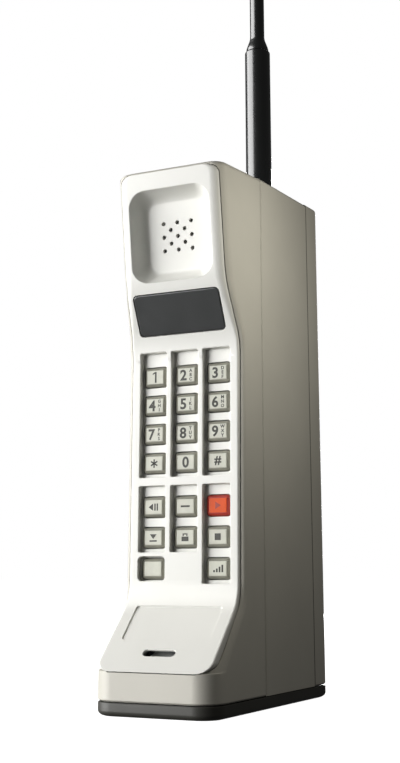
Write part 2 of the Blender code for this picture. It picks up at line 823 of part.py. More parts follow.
def build_microphone(chin, slot_y):
    """A capsule in a rubber boot behind the slot."""
    back = -PLATE_THICKNESS * math.cos(math.radians(CHIN_SLOPE)) - GAP
    frame = empty("microphone_frame", Matrix.Identity(4))
    frame.parent = chin
    frame.location = Vector((0, slot_y + MIC_CAPSULE_RISE, 0)) * MM
    inner = MIC_RADIUS + GAP
    outer = inner + BOOT_WALL
    deep = back - MIC_DEPTH - GAP
    boot = turned(
        "microphone_boot",
        [(outer, back), (outer, deep), (inner, deep), (inner, back)], frame, 20)
    finish(boot, "black_rubber")
    capsule = rod(
        "microphone", MIC_RADIUS, MIC_DEPTH - GAP, (0, 0, back - MIC_DEPTH / 2 - GAP),
        parent=frame, sides=20)
    finish(capsule, "aluminium")


# Inside the shells


def build_keypad_parts(keypad):
    """The rubber mat under the keys and the board under the mat."""
    half = COLUMNS[2] + KEY_WIDTH / 2 + KEY_FLANGE
    low = ROWS[6] - KEY_HEIGHT / 2 - KEY_FLANGE
    top = ROWS[0] + KEY_HEIGHT / 2 + KEY_FLANGE
    mat_front = -PLATE_THICKNESS - GAP - KEY_FLANGE_THICKNESS - KEY_TRAVEL - GAP
    mat_back = mat_front - MAT_THICKNESS
    mat = block("keypad_mat", (-half, half), (low, top), (mat_back, mat_front), parent=keypad)
    finish(mat, "black_rubber")
    board_front = mat_back - GAP
    board = block(
        "keypad_board", (-half, half), (low, top), (board_front - BOARD_THICKNESS, board_front),
        parent=keypad)
    finish(board, "board_green")


SCREW_X = HALF_WIDTH - BOSS_INSET
SCREW_LOW_Z = BASE_HEIGHT + SCREW_END_MARGIN
SCREW_HIGH_Z = EAR_TOP_Z - SCREW_END_MARGIN
SCREW_PLACES = [(x, z) for z in (SCREW_LOW_Z, SCREW_HIGH_Z) for x in (-SCREW_X, SCREW_X)]
LOGIC_BOARD_Y = MID_FRONT + LOGIC_BOARD_BEHIND_SEAM
RADIO_BOARD_Y = LOGIC_BOARD_Y + BOARD_SPACING
BOSS_RADIUS = SCREW_RADIUS + SCREW_CLEARANCE + BOSS_WALL


def along_y(name, radius, y, x, z, group, sides=12):
    low, high = y
    return rod(name, radius, high - low, (x, (low + high) / 2, z), group, None, (90, 0, 0), sides)


def screw_holes(piece, label, y):
    for number, (x, z) in enumerate(SCREW_PLACES, start=1):
        radius = SCREW_RADIUS + SCREW_CLEARANCE
        cut(piece, along_y(f"{label}_hole_{number}", radius, y, x, z, CUTTERS))


def shell_bosses(front_shell, mid_shell):
    """Columns in both shells that the four long screws run through."""
    bite = (SHELL_BACK - SCREW_BITE - WALL, SHELL_BACK - FLUSH)
    column = (RADIO_BOARD_Y + BOARD_THICKNESS + GAP, MID_BACK - WALL / 2)
    for number, (x, z) in enumerate(SCREW_PLACES, start=1):
        join(front_shell, along_y(f"front_boss_{number}", BOSS_RADIUS, bite, x, z, CUTTERS))
        join(mid_shell, along_y(f"mid_boss_{number}", BOSS_RADIUS, column, x, z, CUTTERS))
    screw_holes(front_shell, "front_boss", (SHELL_BACK - SCREW_BITE - GAP, SHELL_BACK + BIG / 10))
    screw_holes(mid_shell, "mid_boss", (column[0] - BIG / 10, MID_BACK + BIG / 10))
    head_seat = (MID_BACK - SCREW_HEAD - GAP, MID_BACK + BIG / 10)
    for number, (x, z) in enumerate(SCREW_PLACES, start=1):
        radius = SCREW_HEAD_RADIUS + SCREW_CLEARANCE
        cut(mid_shell, along_y(f"head_seat_{number}", radius, head_seat, x, z, CUTTERS))


def build_screws():
    """Turned screws with their heads sunk in the back of the mid shell."""
    tip = SHELL_BACK - SCREW_BITE
    shoulder = MID_BACK - SCREW_HEAD
    top = MID_BACK - GAP
    for number, (x, z) in enumerate(SCREW_PLACES, start=1):
        matrix = Matrix.Translation(Vector((x, 0, z)) * MM) @ Matrix.Rotation(math.radians(-90), 4, "X")
        frame = empty(f"screw_frame_{number}", matrix)
        profile = [
            (0, top), (SCREW_HEAD_RADIUS, top), (SCREW_HEAD_RADIUS, shoulder),
            (SCREW_RADIUS, shoulder), (SCREW_RADIUS, tip), (0, tip)]
        finish(turned(f"housing_screw_{number}", profile, frame, 12), "steel")


def build_boards():
    half = HALF_WIDTH - WALL - BOARD_MARGIN
    low = BASE_HEIGHT + WALL + BOARD_MARGIN
    top = EAR_TOP_Z - WALL - BOARD_MARGIN * 2
    logic = block(
        "logic_board", (-half, half), (LOGIC_BOARD_Y, LOGIC_BOARD_Y + BOARD_THICKNESS), (low, top))
    finish(logic, "board_green")
    screw_holes(logic, "logic_board", (LOGIC_BOARD_Y - BIG / 10, LOGIC_BOARD_Y + BIG / 10))
    radio = block(
        "radio_board", (-half, half), (RADIO_BOARD_Y, RADIO_BOARD_Y + BOARD_THICKNESS), (low, top))
    finish(radio, "board_green")
    screw_holes(radio, "radio_board", (RADIO_BOARD_Y - BIG / 10, RADIO_BOARD_Y + BIG / 10))


def build_radio():
    """The shield can and the duplexer, both on the back of the radio board."""
    front = RADIO_BOARD_Y + BOARD_THICKNESS + GAP
    low = SCREW_LOW_Z + BOSS_RADIUS + BOARD_MARGIN
    high = low + SHIELD_HEIGHT
    half = HALF_WIDTH - WALL - BOARD_MARGIN * 2
    shield = block("radio_shield", (-half, half), (front, front + SHIELD_DEPTH), (low, high))
    inside = block(
        "shield_inside", (-half + SHIELD_WALL, half - SHIELD_WALL),
        (front - BIG / 10, front + SHIELD_DEPTH - SHIELD_WALL),
        (low + SHIELD_WALL, high - SHIELD_WALL), CUTTERS)
    cut(finish(shield, "steel"), inside)

    half = DUPLEXER_WIDTH / 2
    low = high + BOARD_MARGIN * 2
    high = low + DUPLEXER_HEIGHT
    duplexer = block(
        "duplexer", (-half, half), (front, front + DUPLEXER_DEPTH), (low, high), bevel=0.6)
    finish(duplexer, "aluminium")
    for number in range(3):
        z = low + DUPLEXER_HEIGHT * (number + 0.5) / 3
        tuner = along_y(
            f"tuner_hole_{number + 1}", DUPLEXER_TUNER_RADIUS,
            (front + DUPLEXER_DEPTH / 2, front + DUPLEXER_DEPTH + 1), 0, z, CUTTERS)
        cut(duplexer, tuner)
    return Vector((half / 2, front + DUPLEXER_DEPTH / 2, high))


# Aerial


AERIAL_Y = SEAM_2 - AERIAL_FROM_PACK
AERIAL_FOOT = top_z(AERIAL_Y) + SLEEVE_RADIUS * TOP_RISE + GAP


def build_aerial(mid_shell, coax_start):
    """A screwed-in aerial that turns in a brass socket in the top of the mid shell."""
    axis = Matrix.Translation(Vector((AERIAL_OFFSET, AERIAL_Y, AERIAL_FOOT)) * MM)
    frame = empty("aerial_axis", axis)
    bore = CORE_RADIUS + GAP
    sleeve = turned("aerial_sleeve", [
        (SLEEVE_RADIUS - SLEEVE_HEAD_CHAMFER, SLEEVE_HEIGHT),
        (SLEEVE_RADIUS, SLEEVE_HEIGHT - SLEEVE_HEAD_CHAMFER),
        (SLEEVE_RADIUS, SLEEVE_FOOT_CHAMFER),
        (SLEEVE_RADIUS - SLEEVE_FOOT_CHAMFER, 0),
        (bore, 0),
        (bore, SLEEVE_HEIGHT)], frame)
    finish(sleeve, "black_gloss")
    shoulder = SLEEVE_HEIGHT + GAP
    tip = AERIAL_HEIGHT
    whip = turned("aerial_whip", [
        (0, tip), (WHIP_RADIUS * 0.7, tip - 0.6), (WHIP_RADIUS, tip - 2.4),
        (WHIP_RADIUS, shoulder + SLEEVE_TAPER), (SLEEVE_RADIUS - SLEEVE_HEAD_CHAMFER, shoulder),
        (CORE_RADIUS, shoulder), (CORE_RADIUS, -GAP), (STUD_RADIUS, -GAP - 0.6),
        (STUD_RADIUS, -STUD_LENGTH), (0, -STUD_LENGTH)], frame)
    finish(whip, "black_gloss")

    inner = STUD_RADIUS + GAP
    seat_top = top_z(AERIAL_Y - SOCKET_RADIUS) - AERIAL_FOOT - GAP
    under = -WALL / math.cos(math.radians(TOP_SLOPE)) - SOCKET_RADIUS * TOP_RISE * 2 - 2 * GAP
    collar = SOCKET_RADIUS + SOCKET_FLANGE
    low = -STUD_LENGTH - 2.0
    socket = turned("aerial_socket", [
        (SOCKET_RADIUS, seat_top), (SOCKET_RADIUS, under), (collar, under),
        (collar, under - SOCKET_FLANGE_THICKNESS), (SOCKET_RADIUS, under - SOCKET_FLANGE_THICKNESS),
        (SOCKET_RADIUS, low), (inner, low), (inner, seat_top)], frame)
    finish(socket, "brass")
    hole = rod("socket_hole", SOCKET_RADIUS + GAP, BIG / 3, (0, 0, 0), CUTTERS, frame, sides=24)
    cut(mid_shell, hole)

    end = Vector((AERIAL_OFFSET, AERIAL_Y, AERIAL_FOOT + low - GAP))
    finish(coax("aerial_coax", coax_start + Vector((0, 0, GAP)), end), "black_rubber")


def coax(name, start, end):
    """The short lead from the duplexer up to the socket, on one smooth curve."""
    lift = (end.z - start.z) / 2
    controls = [start, start + Vector((0, 0, lift)), end - Vector((0, 0, lift)), end]
    curve = bpy.data.curves.new(name, "CURVE")
    curve.dimensions = "3D"
    curve.bevel_depth = COAX_RADIUS * MM
    curve.bevel_resolution = 2
    curve.use_fill_caps = True
    spline = curve.splines.new("POLY")
    steps = 8
    spline.points.add(steps)
    for step in range(steps + 1):
        t = step / steps
        weights = ((1 - t) ** 3, 3 * t * (1 - t) ** 2, 3 * t ** 2 * (1 - t), t ** 3)
        point = sum((control * weight for control, weight in zip(controls, weights)), Vector())
        spline.points[step].co = (*(point * MM), 1.0)
    obj = bpy.data.objects.new(name, curve)
    PARTS.objects.link(obj)
    return obj


# Battery pack


LID_BACK = PACK_FRONT + LID_THICKNESS
HOOK_BASE_Z = [BASE_HEIGHT + HOOK_LOW_MARGIN, BASE_HEIGHT + HOOK_LOW_MARGIN + HOOK_RISE]
HOOK_X = HALF_WIDTH - HOOK_INSET


def hook_places():
    number = 0
    for z in HOOK_BASE_Z:
        for x in (-HOOK_X, HOOK_X):
            number += 1
            yield number, x, z


def build_hooks(mid_shell):
    """Upward hooks on the back of the mid shell, which the pack drops onto."""
    foot_y = (LID_BACK + GAP, LID_BACK + GAP + HOOK_THICKNESS)
    for number, x, z in hook_places():
        across = (x - HOOK_WIDTH / 2, x + HOOK_WIDTH / 2)
        stem = block(
            f"hook_stem_{number}", across, (MID_BACK - WALL / 2, foot_y[1]), (z, z + HOOK_STEM),
            CUTTERS)
        foot = block(
            f"hook_foot_{number}", (across[0] + FLUSH, across[1] - FLUSH), foot_y,
            (z + FLUSH, z + HOOK_HEIGHT), CUTTERS)
        join(mid_shell, stem)
        join(mid_shell, foot)


def build_pack_lid(pack):
    """The pack's inner cover, with a window for each hook, the terminals and the catch."""
    half = HALF_WIDTH - PACK_WALL - GAP
    low = BASE_HEIGHT + PACK_WALL + GAP
    high = pack_hollow_top(PACK_FRONT) - GAP
    lid = block("battery_lid", (-half, half), (PACK_FRONT, LID_BACK), (low, high), parent=pack)
    finish(lid, "taupe_plastic")
    through = (PACK_FRONT - BIG / 10, LID_BACK + BIG / 10)
    for number, x, z in hook_places():
        top = z + HOOK_STEM + GAP
        drop = max(PACK_TRAVEL, HOOK_HEIGHT - HOOK_STEM) + HOOK_STEM + 2 * GAP
        window = block(
            f"hook_window_{number}", (x - HOOK_WIDTH / 2 - 0.5, x + HOOK_WIDTH / 2 + 0.5), through,
            (top - drop, top), CUTTERS, pack)
        cut(lid, window)
    for number, x in enumerate(terminal_places(), start=1):
        window = block(
            f"terminal_window_{number}",
            (x - TERMINAL_WIDTH / 2 - GAP, x + TERMINAL_WIDTH / 2 + GAP), through,
            (TERMINAL_Z - TERMINAL_HEIGHT / 2 - GAP, TERMINAL_Z + TERMINAL_HEIGHT / 2 + GAP), CUTTERS, pack)
        cut(lid, window)
    tooth = catch_tooth_range()
    window = block(
        "tooth_window", (-CATCH_TOOTH_WIDTH / 2 - GAP, CATCH_TOOTH_WIDTH / 2 + GAP), through,
        (tooth[0] - CATCH_TRAVEL - GAP, tooth[1] + GAP), CUTTERS, pack)
    cut(lid, window)


TERMINAL_Z = EAR_TOP_Z - TERMINAL_TOP_MARGIN


def terminal_places():
    return (-TERMINAL_SPACING / 2, TERMINAL_SPACING / 2)


def build_terminals(mid_shell, pack):
    """Flat terminals in the pack, and the contacts that they meet in the mid shell."""
    half = TERMINAL_WIDTH / 2
    z = (TERMINAL_Z - TERMINAL_HEIGHT / 2, TERMINAL_Z + TERMINAL_HEIGHT / 2)
    for sign, x in zip(("minus", "plus"), terminal_places()):
        across = (x - half, x + half)
        plate = block(f"pack_terminal_{sign}", across, (PACK_FRONT, LID_BACK + GAP), z, parent=pack)
        finish(plate, "brass")
        contact = block(f"body_contact_{sign}", across, (MID_BACK - WALL - GAP, MID_BACK), z)
        finish(contact, "brass")
        slot = block(
            f"contact_slot_{sign}", (across[0] - GAP, across[1] + GAP),
            (MID_BACK - WALL - 1, MID_BACK + 1), (z[0] - GAP, z[1] + GAP), CUTTERS)
        cut(mid_shell, slot)


def build_cells(pack):
    """A stack of flat cells that fills the room under the shelf of the catch spring."""
    half = HALF_WIDTH - PACK_WALL - CELL_SIDE_MARGIN
    depth = (LID_BACK + GAP, REAR_Y - PACK_WALL - GAP)
    floor = BASE_HEIGHT + PACK_WALL + CELL_LOW_MARGIN
    ceiling = SPRING_LOW - GAP - SPRING_SEAT - CELL_TOP_MARGIN
    pitch = (ceiling - floor + CELL_GAP) / CELL_COUNT
    for number in range(CELL_COUNT):
        low = floor + number * pitch
        cell = block(
            f"battery_cell_{number + 1}", (-half, half), depth, (low, low + pitch - CELL_GAP),
            parent=pack, bevel=CELL_EDGE)
        finish(cell, "cell_wrap")


CATCH_TOP = top_z(REAR_Y) - CATCH_TOP_MARGIN
CATCH_LOW = CATCH_TOP - CATCH_HEIGHT
FLANGE_LOW = CATCH_LOW - CATCH_FLANGE - CATCH_TRAVEL
FLANGE_BACK = REAR_Y - PACK_WALL - GAP
SPRING_Y = FLANGE_BACK - CATCH_FLANGE_THICKNESS - SPRING_RADIUS - SPRING_WIRE - GAP
SPRING_TOP = FLANGE_LOW - GAP
SPRING_LOW = SPRING_TOP - SPRING_LENGTH


def catch_tooth_range():
    return (CATCH_TOP + CATCH_FLANGE - CATCH_TOOTH_HEIGHT, CATCH_TOP + CATCH_FLANGE)


def build_catch(case, pack):
    """The thumb catch: a pad in the back wall, its flange, its tooth and its spring."""
    slide = empty("catch_slide", Matrix.Translation(Vector((0, FLANGE_BACK, CATCH_LOW)) * MM))
    slide.parent = pack
    slide.matrix_parent_inverse = Matrix.Identity(4)
    half = CATCH_WIDTH / 2
    origin = Vector((0, FLANGE_BACK, CATCH_LOW))
    flange_x = half + CATCH_FLANGE
    flange_front = FLANGE_BACK - CATCH_FLANGE_THICKNESS

    def local(low, high, axis):
        return (low - origin[axis], high - origin[axis])

    catch = block(
        "battery_catch", (-half, half), local(flange_front + FLUSH, REAR_Y - CATCH_RECESS, 1),
        local(CATCH_LOW, CATCH_TOP, 2), parent=slide)
    finish(catch, "taupe_plastic")
    flange = block(
        "catch_flange", (-flange_x, flange_x), local(flange_front, FLANGE_BACK, 1),
        local(FLANGE_LOW, CATCH_TOP + CATCH_FLANGE, 2), CUTTERS, slide)
    seat_x = SPRING_RADIUS + SPRING_WIRE
    seat = block(
        "catch_seat", (-seat_x, seat_x),
        local(SPRING_Y - seat_x, FLANGE_BACK - CATCH_FLANGE_THICKNESS / 2, 1),
        local(FLANGE_LOW + FLUSH, FLANGE_LOW + SPRING_SEAT, 2), CUTTERS, slide)
    tooth_z = catch_tooth_range()
    tooth_x = CATCH_TOOTH_WIDTH / 2
    tooth = block(
        "catch_tooth", (-tooth_x, tooth_x), local(PACK_FRONT, FLANGE_BACK - CATCH_FLANGE_THICKNESS / 2, 1),
        local(tooth_z[0], tooth_z[1] - FLUSH, 2), CUTTERS, slide)
    for piece in (flange, seat, tooth):
        join(catch, piece)

    window = block(
        "catch_window", (-half - GAP, half + GAP), (REAR_Y - PACK_WALL - 1, REAR_Y + 1),
        (CATCH_LOW - CATCH_TRAVEL - GAP, CATCH_TOP + GAP), CUTTERS, pack)
    cut(case, window)
    shelf = block(
        "spring_shelf", (-seat_x, seat_x), (SPRING_Y - seat_x, REAR_Y - PACK_WALL / 2),
        (SPRING_LOW - GAP - SPRING_SEAT, SPRING_LOW - GAP), CUTTERS, pack)
    join(case, shelf)
    finish(coil_spring("catch_spring", pack), "steel")


def coil_spring(name, parent):
    """A round-wire compression spring on a vertical axis."""
    curve = bpy.data.curves.new(name, "CURVE")
    curve.dimensions = "3D"
    curve.bevel_depth = SPRING_WIRE * MM
    curve.bevel_resolution = 1
    curve.use_fill_caps = True
    per_turn = 10
    count = SPRING_TURNS * per_turn
    rise = SPRING_LENGTH - 2 * SPRING_WIRE
    spline = curve.splines.new("POLY")
    spline.points.add(count)
    for step in range(count + 1):
        angle = 2 * math.pi * step / per_turn
        x = SPRING_RADIUS * math.cos(angle)
        y = SPRING_Y + SPRING_RADIUS * math.sin(angle)
        z = SPRING_LOW + SPRING_WIRE + rise * step / count
        spline.points[step].co = (x * MM, y * MM, z * MM, 1.0)
    obj = bpy.data.objects.new(name, curve)
    PARTS.objects.link(obj)
    obj.parent = parent
    return obj


def main():
    keypad = panel_frame("keypad_frame", (KEY_TOP_Z, KEY_TOP_Y), (KEY_LOW_Z, KEY_LOW_Y))
    display = panel_frame("display_frame", (EAR_LOW_Z, EAR_LOW_Y), (KEY_TOP_Z, KEY_TOP_Y))
    ear = panel_frame("ear_frame", (EAR_TOP_Z, EAR_TOP_Y), (EAR_LOW_Z, EAR_LOW_Y))
    chin = panel_frame("chin_frame", (KEY_LOW_Z, KEY_LOW_Y), (CHIN_TOP_Z, FRONT_Y))
    display_length = face_length((KEY_TOP_Z, KEY_TOP_Y), (EAR_LOW_Z, EAR_LOW_Y))
    ear_length = face_length((EAR_LOW_Z, EAR_LOW_Y), (EAR_TOP_Z, EAR_TOP_Y))
    chin_length = face_length((CHIN_TOP_Z, FRONT_Y), (KEY_LOW_Z, KEY_LOW_Y))

    front_shell = build_front_shell()
    mid_shell = build_mid_shell()
    build_base()

    plate = build_faceplate()
    ear_cup(plate, ear, ear_length)
    key_column_cuts(plate, keypad)
    key_windows(plate, keypad)
    lens_cuts(plate, display, display_length)
    slot_y = chin_cuts(plate, chin, chin_length)

    build_keys(keypad)
    build_keypad_parts(keypad)
    build_display(display, display_length)
    build_receiver(ear, ear_length)
    build_microphone(chin, slot_y)

    shell_bosses(front_shell, mid_shell)
    build_screws()
    build_boards()
    coax_start = build_radio()
    build_aerial(mid_shell, coax_start)

    pack = empty("battery_pack", Matrix.Identity(4))
    case = build_pack_case(pack)
    build_hooks(mid_shell)
    build_pack_lid(pack)
    build_terminals(mid_shell, pack)
    build_cells(pack)
    build_catch(case, pack)


main()
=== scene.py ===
"""Looks of the brick phone: fine shells, faceplate, keys, lens, aerial and battery pack.

Lengths in the functions are in millimetres and become metres where a mesh is made.
X runs across the phone, Y from its front to its back and Z up from the surface it stands on.
"""
import json
import math

import bmesh
import bpy
from bpy.props import FloatProperty, FloatVectorProperty, PointerProperty
from mathutils import Matrix, Vector


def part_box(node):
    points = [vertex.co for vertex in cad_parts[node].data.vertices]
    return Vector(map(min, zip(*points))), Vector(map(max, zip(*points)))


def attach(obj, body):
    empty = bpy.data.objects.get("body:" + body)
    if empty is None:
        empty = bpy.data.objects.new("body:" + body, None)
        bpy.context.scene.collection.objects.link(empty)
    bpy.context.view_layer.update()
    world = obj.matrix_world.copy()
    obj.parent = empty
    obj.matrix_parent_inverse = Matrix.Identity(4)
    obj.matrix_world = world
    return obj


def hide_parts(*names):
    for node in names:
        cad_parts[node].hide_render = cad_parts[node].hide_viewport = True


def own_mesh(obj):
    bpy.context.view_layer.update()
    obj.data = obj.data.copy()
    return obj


bl_info = {
    "name": "Brick Phone",
    "version": (1, 0, 0),
    "blender": (4, 5, 0),
    "location": "View3D > Sidebar > Brick Phone",
    "description": "Builds the looks of an early mobile telephone around its packed frame",
    "category": "Object",
}

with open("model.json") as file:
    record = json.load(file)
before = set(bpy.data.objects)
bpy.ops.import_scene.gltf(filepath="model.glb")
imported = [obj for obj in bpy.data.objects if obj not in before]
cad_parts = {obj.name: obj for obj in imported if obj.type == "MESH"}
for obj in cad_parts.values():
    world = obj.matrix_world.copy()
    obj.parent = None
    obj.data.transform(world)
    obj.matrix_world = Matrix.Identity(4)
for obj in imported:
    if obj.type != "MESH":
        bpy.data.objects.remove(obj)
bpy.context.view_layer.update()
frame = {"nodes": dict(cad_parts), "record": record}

MM = 0.001


def node_box(node):
    """Lowest and highest corner of a node, in millimetres."""
    low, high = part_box(node)
    return low / MM, high / MM


# Sizes read from the frame

BODY_LOW, BODY_HIGH = node_box("base_cap")
HALF_WIDTH = BODY_HIGH.x
FRONT_Y = BODY_LOW.y
REAR_Y = BODY_HIGH.y
SEAM = 0.3
BASE_HEIGHT = BODY_HIGH.z + SEAM
SHELL_BACK = node_box("front_shell")[1].y
PACK_FRONT = node_box("battery_case")[0].y
PLATE_FOOT = node_box("faceplate")[0]
CATCH_LOW, CATCH_HIGH = node_box("battery_catch")
SPRING_LOW = node_box("catch_spring")[0].z

# Sizes of the front that a box can't give

BASE_CHAMFER = 2.4
CHIN_TOP_Z = PLATE_FOOT.z
CHIN_SLOPE = 45.0
KEY_FACE_SETBACK = 23.0
KEY_SECTION_HEIGHT = 86.1
KEY_FACE_TILT = 0.73
DISPLAY_SECTION_HEIGHT = 19.8
DISPLAY_TILT = 24.5
EAR_SECTION_HEIGHT = 40.3
EAR_TILT = 7.3
PROFILE_BEND = 6.0
EAR_NARROWING = 1.45
TOP_SLOPE = 2.3
CHIN_CORNER = 8.0
KEY_CORNER = 1.6
EAR_CORNER_ACROSS = 4.0
EAR_CORNER_DEEP = 4.4
FRONT_SHOULDER = 2.4
REAR_SHOULDER = 1.2
REAR_CORNER = 3.0
WALL = 2.2
PACK_WALL = 1.7
PLATE_THICKNESS = 3.4
PLATE_PROUD = 0.9
RIDGE = 1.45
GAP = 0.3
PLATE_LOW_CORNER = 5.0
PLATE_TOP_CORNER = 3.0
PLATE_EDGE = 0.8
PLATE_EAR_EDGE_ACROSS = 3.0
PLATE_EAR_EDGE_DEEP = 1.9
PLATE_TOP_MARGIN = 1.5
KEY_WIDTH = 8.4
KEY_HEIGHT = 6.7
KEY_FLANGE = 0.7
KEY_FLANGE_THICKNESS = 0.8
KEY_CLEARANCE = 0.35
KEY_PROUD = 0.9
CHANNEL_MARGIN = 0.95
CHANNEL_DEPTH = 2.2
CHANNEL_HEAD = 8.4
LOW_CHANNEL_HEAD = 7.1
CHANNEL_FOOT = 4.9
LENS_WIDTH = 32.8
LENS_HEIGHT = 14.6
LENS_THICKNESS = 1.6
LENS_LEDGE = 1.4
LENS_CORNER = 1.8
CUP_WIDTH = 30.6
CUP_DEPTH = 6.0
CUP_RUN = 4.3
CUP_CORNER = 6.0
CUP_TOP_MARGIN = 7.8
CUP_LOW_MARGIN = 0.6
CUP_WALL = 1.4
CUP_RIM = 0.6
SOUND_HOLE = 1.5
SOUND_HOLE_PITCH = 5.4
SOUND_ROW_PITCH = 2.4
SLOT_WIDTH = 11.6
SLOT_HEIGHT = 2.7
SLOT_RISE = 8.05
SLOT_LIP = 0.7
SLOT_UNDERCUT = 1.6
LABEL_WIDTH = 32.0
LABEL_HEIGHT = 14.6
LABEL_DEPTH = 0.4
LABEL_ABOVE_SLOT = 5.1
SCREW_RADIUS = 1.8
BOSS_RADIUS = 3.7
BOSS_INSET = 4.3
SCREW_END_MARGIN = 15.5
SCREW_BITE = 4.5
CATCH_FLANGE = 2.4
CATCH_FLANGE_THICKNESS = 1.0
CATCH_TOOTH_WIDTH = 6.0
CATCH_TOOTH_HEIGHT = 2.0
CATCH_WIDTH = 14.0
CATCH_HEIGHT = 8.0
CATCH_TRAVEL = 2.5
SPRING_SEAT = 1.2
SPRING_HALF = 1.6
SPRING_WIRE = 0.25
SPRING_TURNS = 6
SPRING_STEPS = 28
SPRING_WIRE_SIDES = 10
FLUSH = 0.01
FAR = 6.0

# Small edges: a level is (height, how far it stands out), and in the cup (depth, how far in)

LIP_START = 0.3
BREAK = 0.001
ABOVE = 0.1
RECESS_FOOT = ((0.0, -0.15), (0.05, -0.05), (0.2, 0.0))
CUP_LIP = ((-CUP_WALL, -0.5), (-0.02, -0.5), (0.08, -0.3), (0.25, -0.15), (CUP_RIM, 0.0))
CUP_STEPS = 14
CHIN_EDGE_LEVELS = (-2.0, 0.0, 0.35, 1.0)
SEAT_STEP = 0.8
SHOULDER_STEPS = 6
REAR_SHOULDER_STEPS = 5
CORNER_STEPS = 8
BASE_ROUNDING = 0.75
BASE_TOP_EDGE = 0.2
CHANNEL_CORNER = 0.6
POCKET_CORNER = 1.5
POCKET_MARGIN = 0.7
LABEL_CORNER = 1.2
SMALL_LIP = 0.12
LENS_LEVELS = (
    (-LENS_THICKNESS, -0.1), (-LENS_THICKNESS + 0.1, 0.0), (-0.4, 0.0),
    (-0.2, -0.06), (-0.06, -0.2), (0.0, -0.4))
KEY_SIDE_LEVELS = ((-0.85, 0.0), (-0.72, -0.05), (-0.62, -0.14))
KEY_FACE_LEVELS = (
    (-0.10, 0.1), (-0.06, 0.0), (-0.20, -0.10), (-0.20, -0.22), (-0.04, -0.30), (0.0, -0.42),
    (-0.015, -1.2))
KEY_BORDER_BANDS = 9
FIGURE_SHIFT = -1.05
LETTER_SHIFT = 1.75
LETTER_PITCH = 1.3
HASH_SCALE = 0.8
FIGURE_WEIGHT = 0.03
PACK_LABEL_HALF = 15.5
PACK_LABEL_Z = (44.0, 112.0)
PACK_LABEL_CORNER = 2.0
PACK_LABEL_DEPTH = 0.35
WINDOW_CORNER = 0.3
WINDOW_LIP = 0.25
SHELF_REACH = 4.6
SEAT_REACH = 3.4
GROOVES = 5
GROOVE_MARGIN = 1.6
GROOVE_HALF = 0.3

# Aerial: its tip is given as (radius, distance below the top)

CORE = 1.8
BORE = 2.1
TAPER = 6.2
SLEEVE_FOOT_EDGE = 0.6
SLEEVE_HEAD_EDGE = 0.5
SLEEVE_HEAD_STEPS = 5
WHIP_RADIUS = 2.8
STUD_RADIUS = 2.6
TAPER_STEPS = 6
WHIP_TIP = ((0, 0.0), (1.05, 0.12), (1.95, 0.6), (2.55, 1.5), (WHIP_RADIUS, 2.6))

# Stage, in metres and watts: place, target, width, height, power, colour

KEY_LIGHT = ((-0.92, -0.70, 0.14), (0, 0, 0.12), 1.0, 0.5, 28.0, (1, 1, 1))
SIDE_LIGHT = ((0.109, -0.027, 0.162), (0.0225, -0.027, 0.142), 0.012, 0.012, 0.060, (1, 0.97, 0.88))
BACK_LIGHT = ((-0.35, 1.05, 0.30), (0, 0.05, 0.10), 0.3, 0.5, 11.0, (1, 1, 1))
AERIAL_PANEL = ((-0.82, -0.56, 0.75), (0.0096, 0.019, 0.26), 1.3, 0.7, 16.0, (1, 1, 1))
FLOOR_HALF = 30.0
AROUND_STRENGTH = 0.05
CAMERA_PLACE = (0.19567, -0.40145, 0.04264)
CAMERA_YAW_PITCH_ROLL = (26.71, 12.533, -0.07)
CAMERA_LENS = 58.95
CAMERA_SENSOR = 36.0
CAMERA_SHIFT = -0.1068

KEY_TOP_Y = FRONT_Y + KEY_FACE_SETBACK
KEY_LOW_Y = KEY_TOP_Y - KEY_SECTION_HEIGHT * math.tan(math.radians(KEY_FACE_TILT))
KEY_LOW_Z = CHIN_TOP_Z + (KEY_LOW_Y - FRONT_Y) / math.tan(math.radians(CHIN_SLOPE))
KEY_TOP_Z = KEY_LOW_Z + KEY_SECTION_HEIGHT
EAR_LOW_Z = KEY_TOP_Z + DISPLAY_SECTION_HEIGHT
EAR_LOW_Y = KEY_TOP_Y - DISPLAY_SECTION_HEIGHT * math.tan(math.radians(DISPLAY_TILT))
EAR_TOP_Z = EAR_LOW_Z + EAR_SECTION_HEIGHT
EAR_TOP_Y = EAR_LOW_Y - EAR_SECTION_HEIGHT * math.tan(math.radians(EAR_TILT))
TOP_RISE = math.tan(math.radians(TOP_SLOPE))
PLATE_TOP_Z = EAR_TOP_Z - PLATE_TOP_MARGIN

LETTERS = {
    "key_2": "ABC", "key_3": "DEF", "key_4": "GHI", "key_5": "JKL",
    "key_6": "MNO", "key_7": "PRS", "key_8": "TUV", "key_9": "WXY"}
FIGURES = {"key_star": "*", "key_0": "0", "key_hash": "#"}
FIGURES.update({f"key_{digit}": str(digit) for digit in range(1, 10)})
FUNCTION_KEYS = [
    "key_recall", "key_clear", "key_send", "key_store", "key_lock", "key_end", "key_power", "key_volume"]
KEYS = list(FIGURES) + FUNCTION_KEYS

# The keys at the ends of each column's two channels: first and last figure, first and last function

KEY_COLUMNS = (
    ("key_1", "key_star", "key_recall", "key_store"),
    ("key_2", "key_0", "key_clear", "key_lock"),
    ("key_3", "key_hash", "key_send", "key_volume"))


# Shapes


def arc(centre_x, centre_y, across, deep, start, end, steps):
    """Points of a piece of an ellipse."""
    points = []
    for step in range(steps + 1):
        angle = math.radians(start + (end - start) * step / steps)
        points.append((centre_x + across * math.cos(angle), centre_y + deep * math.sin(angle)))
    return points


def between(value, table):
    """Value read from a table of (position, value) pairs, straight between them."""
    if value <= table[0][0]:
        return table[0][1]
    for (low, first), (high, second) in zip(table, table[1:]):
        if value <= high:
            return first + (second - first) * (value - low) / (high - low)
    return table[-1][1]


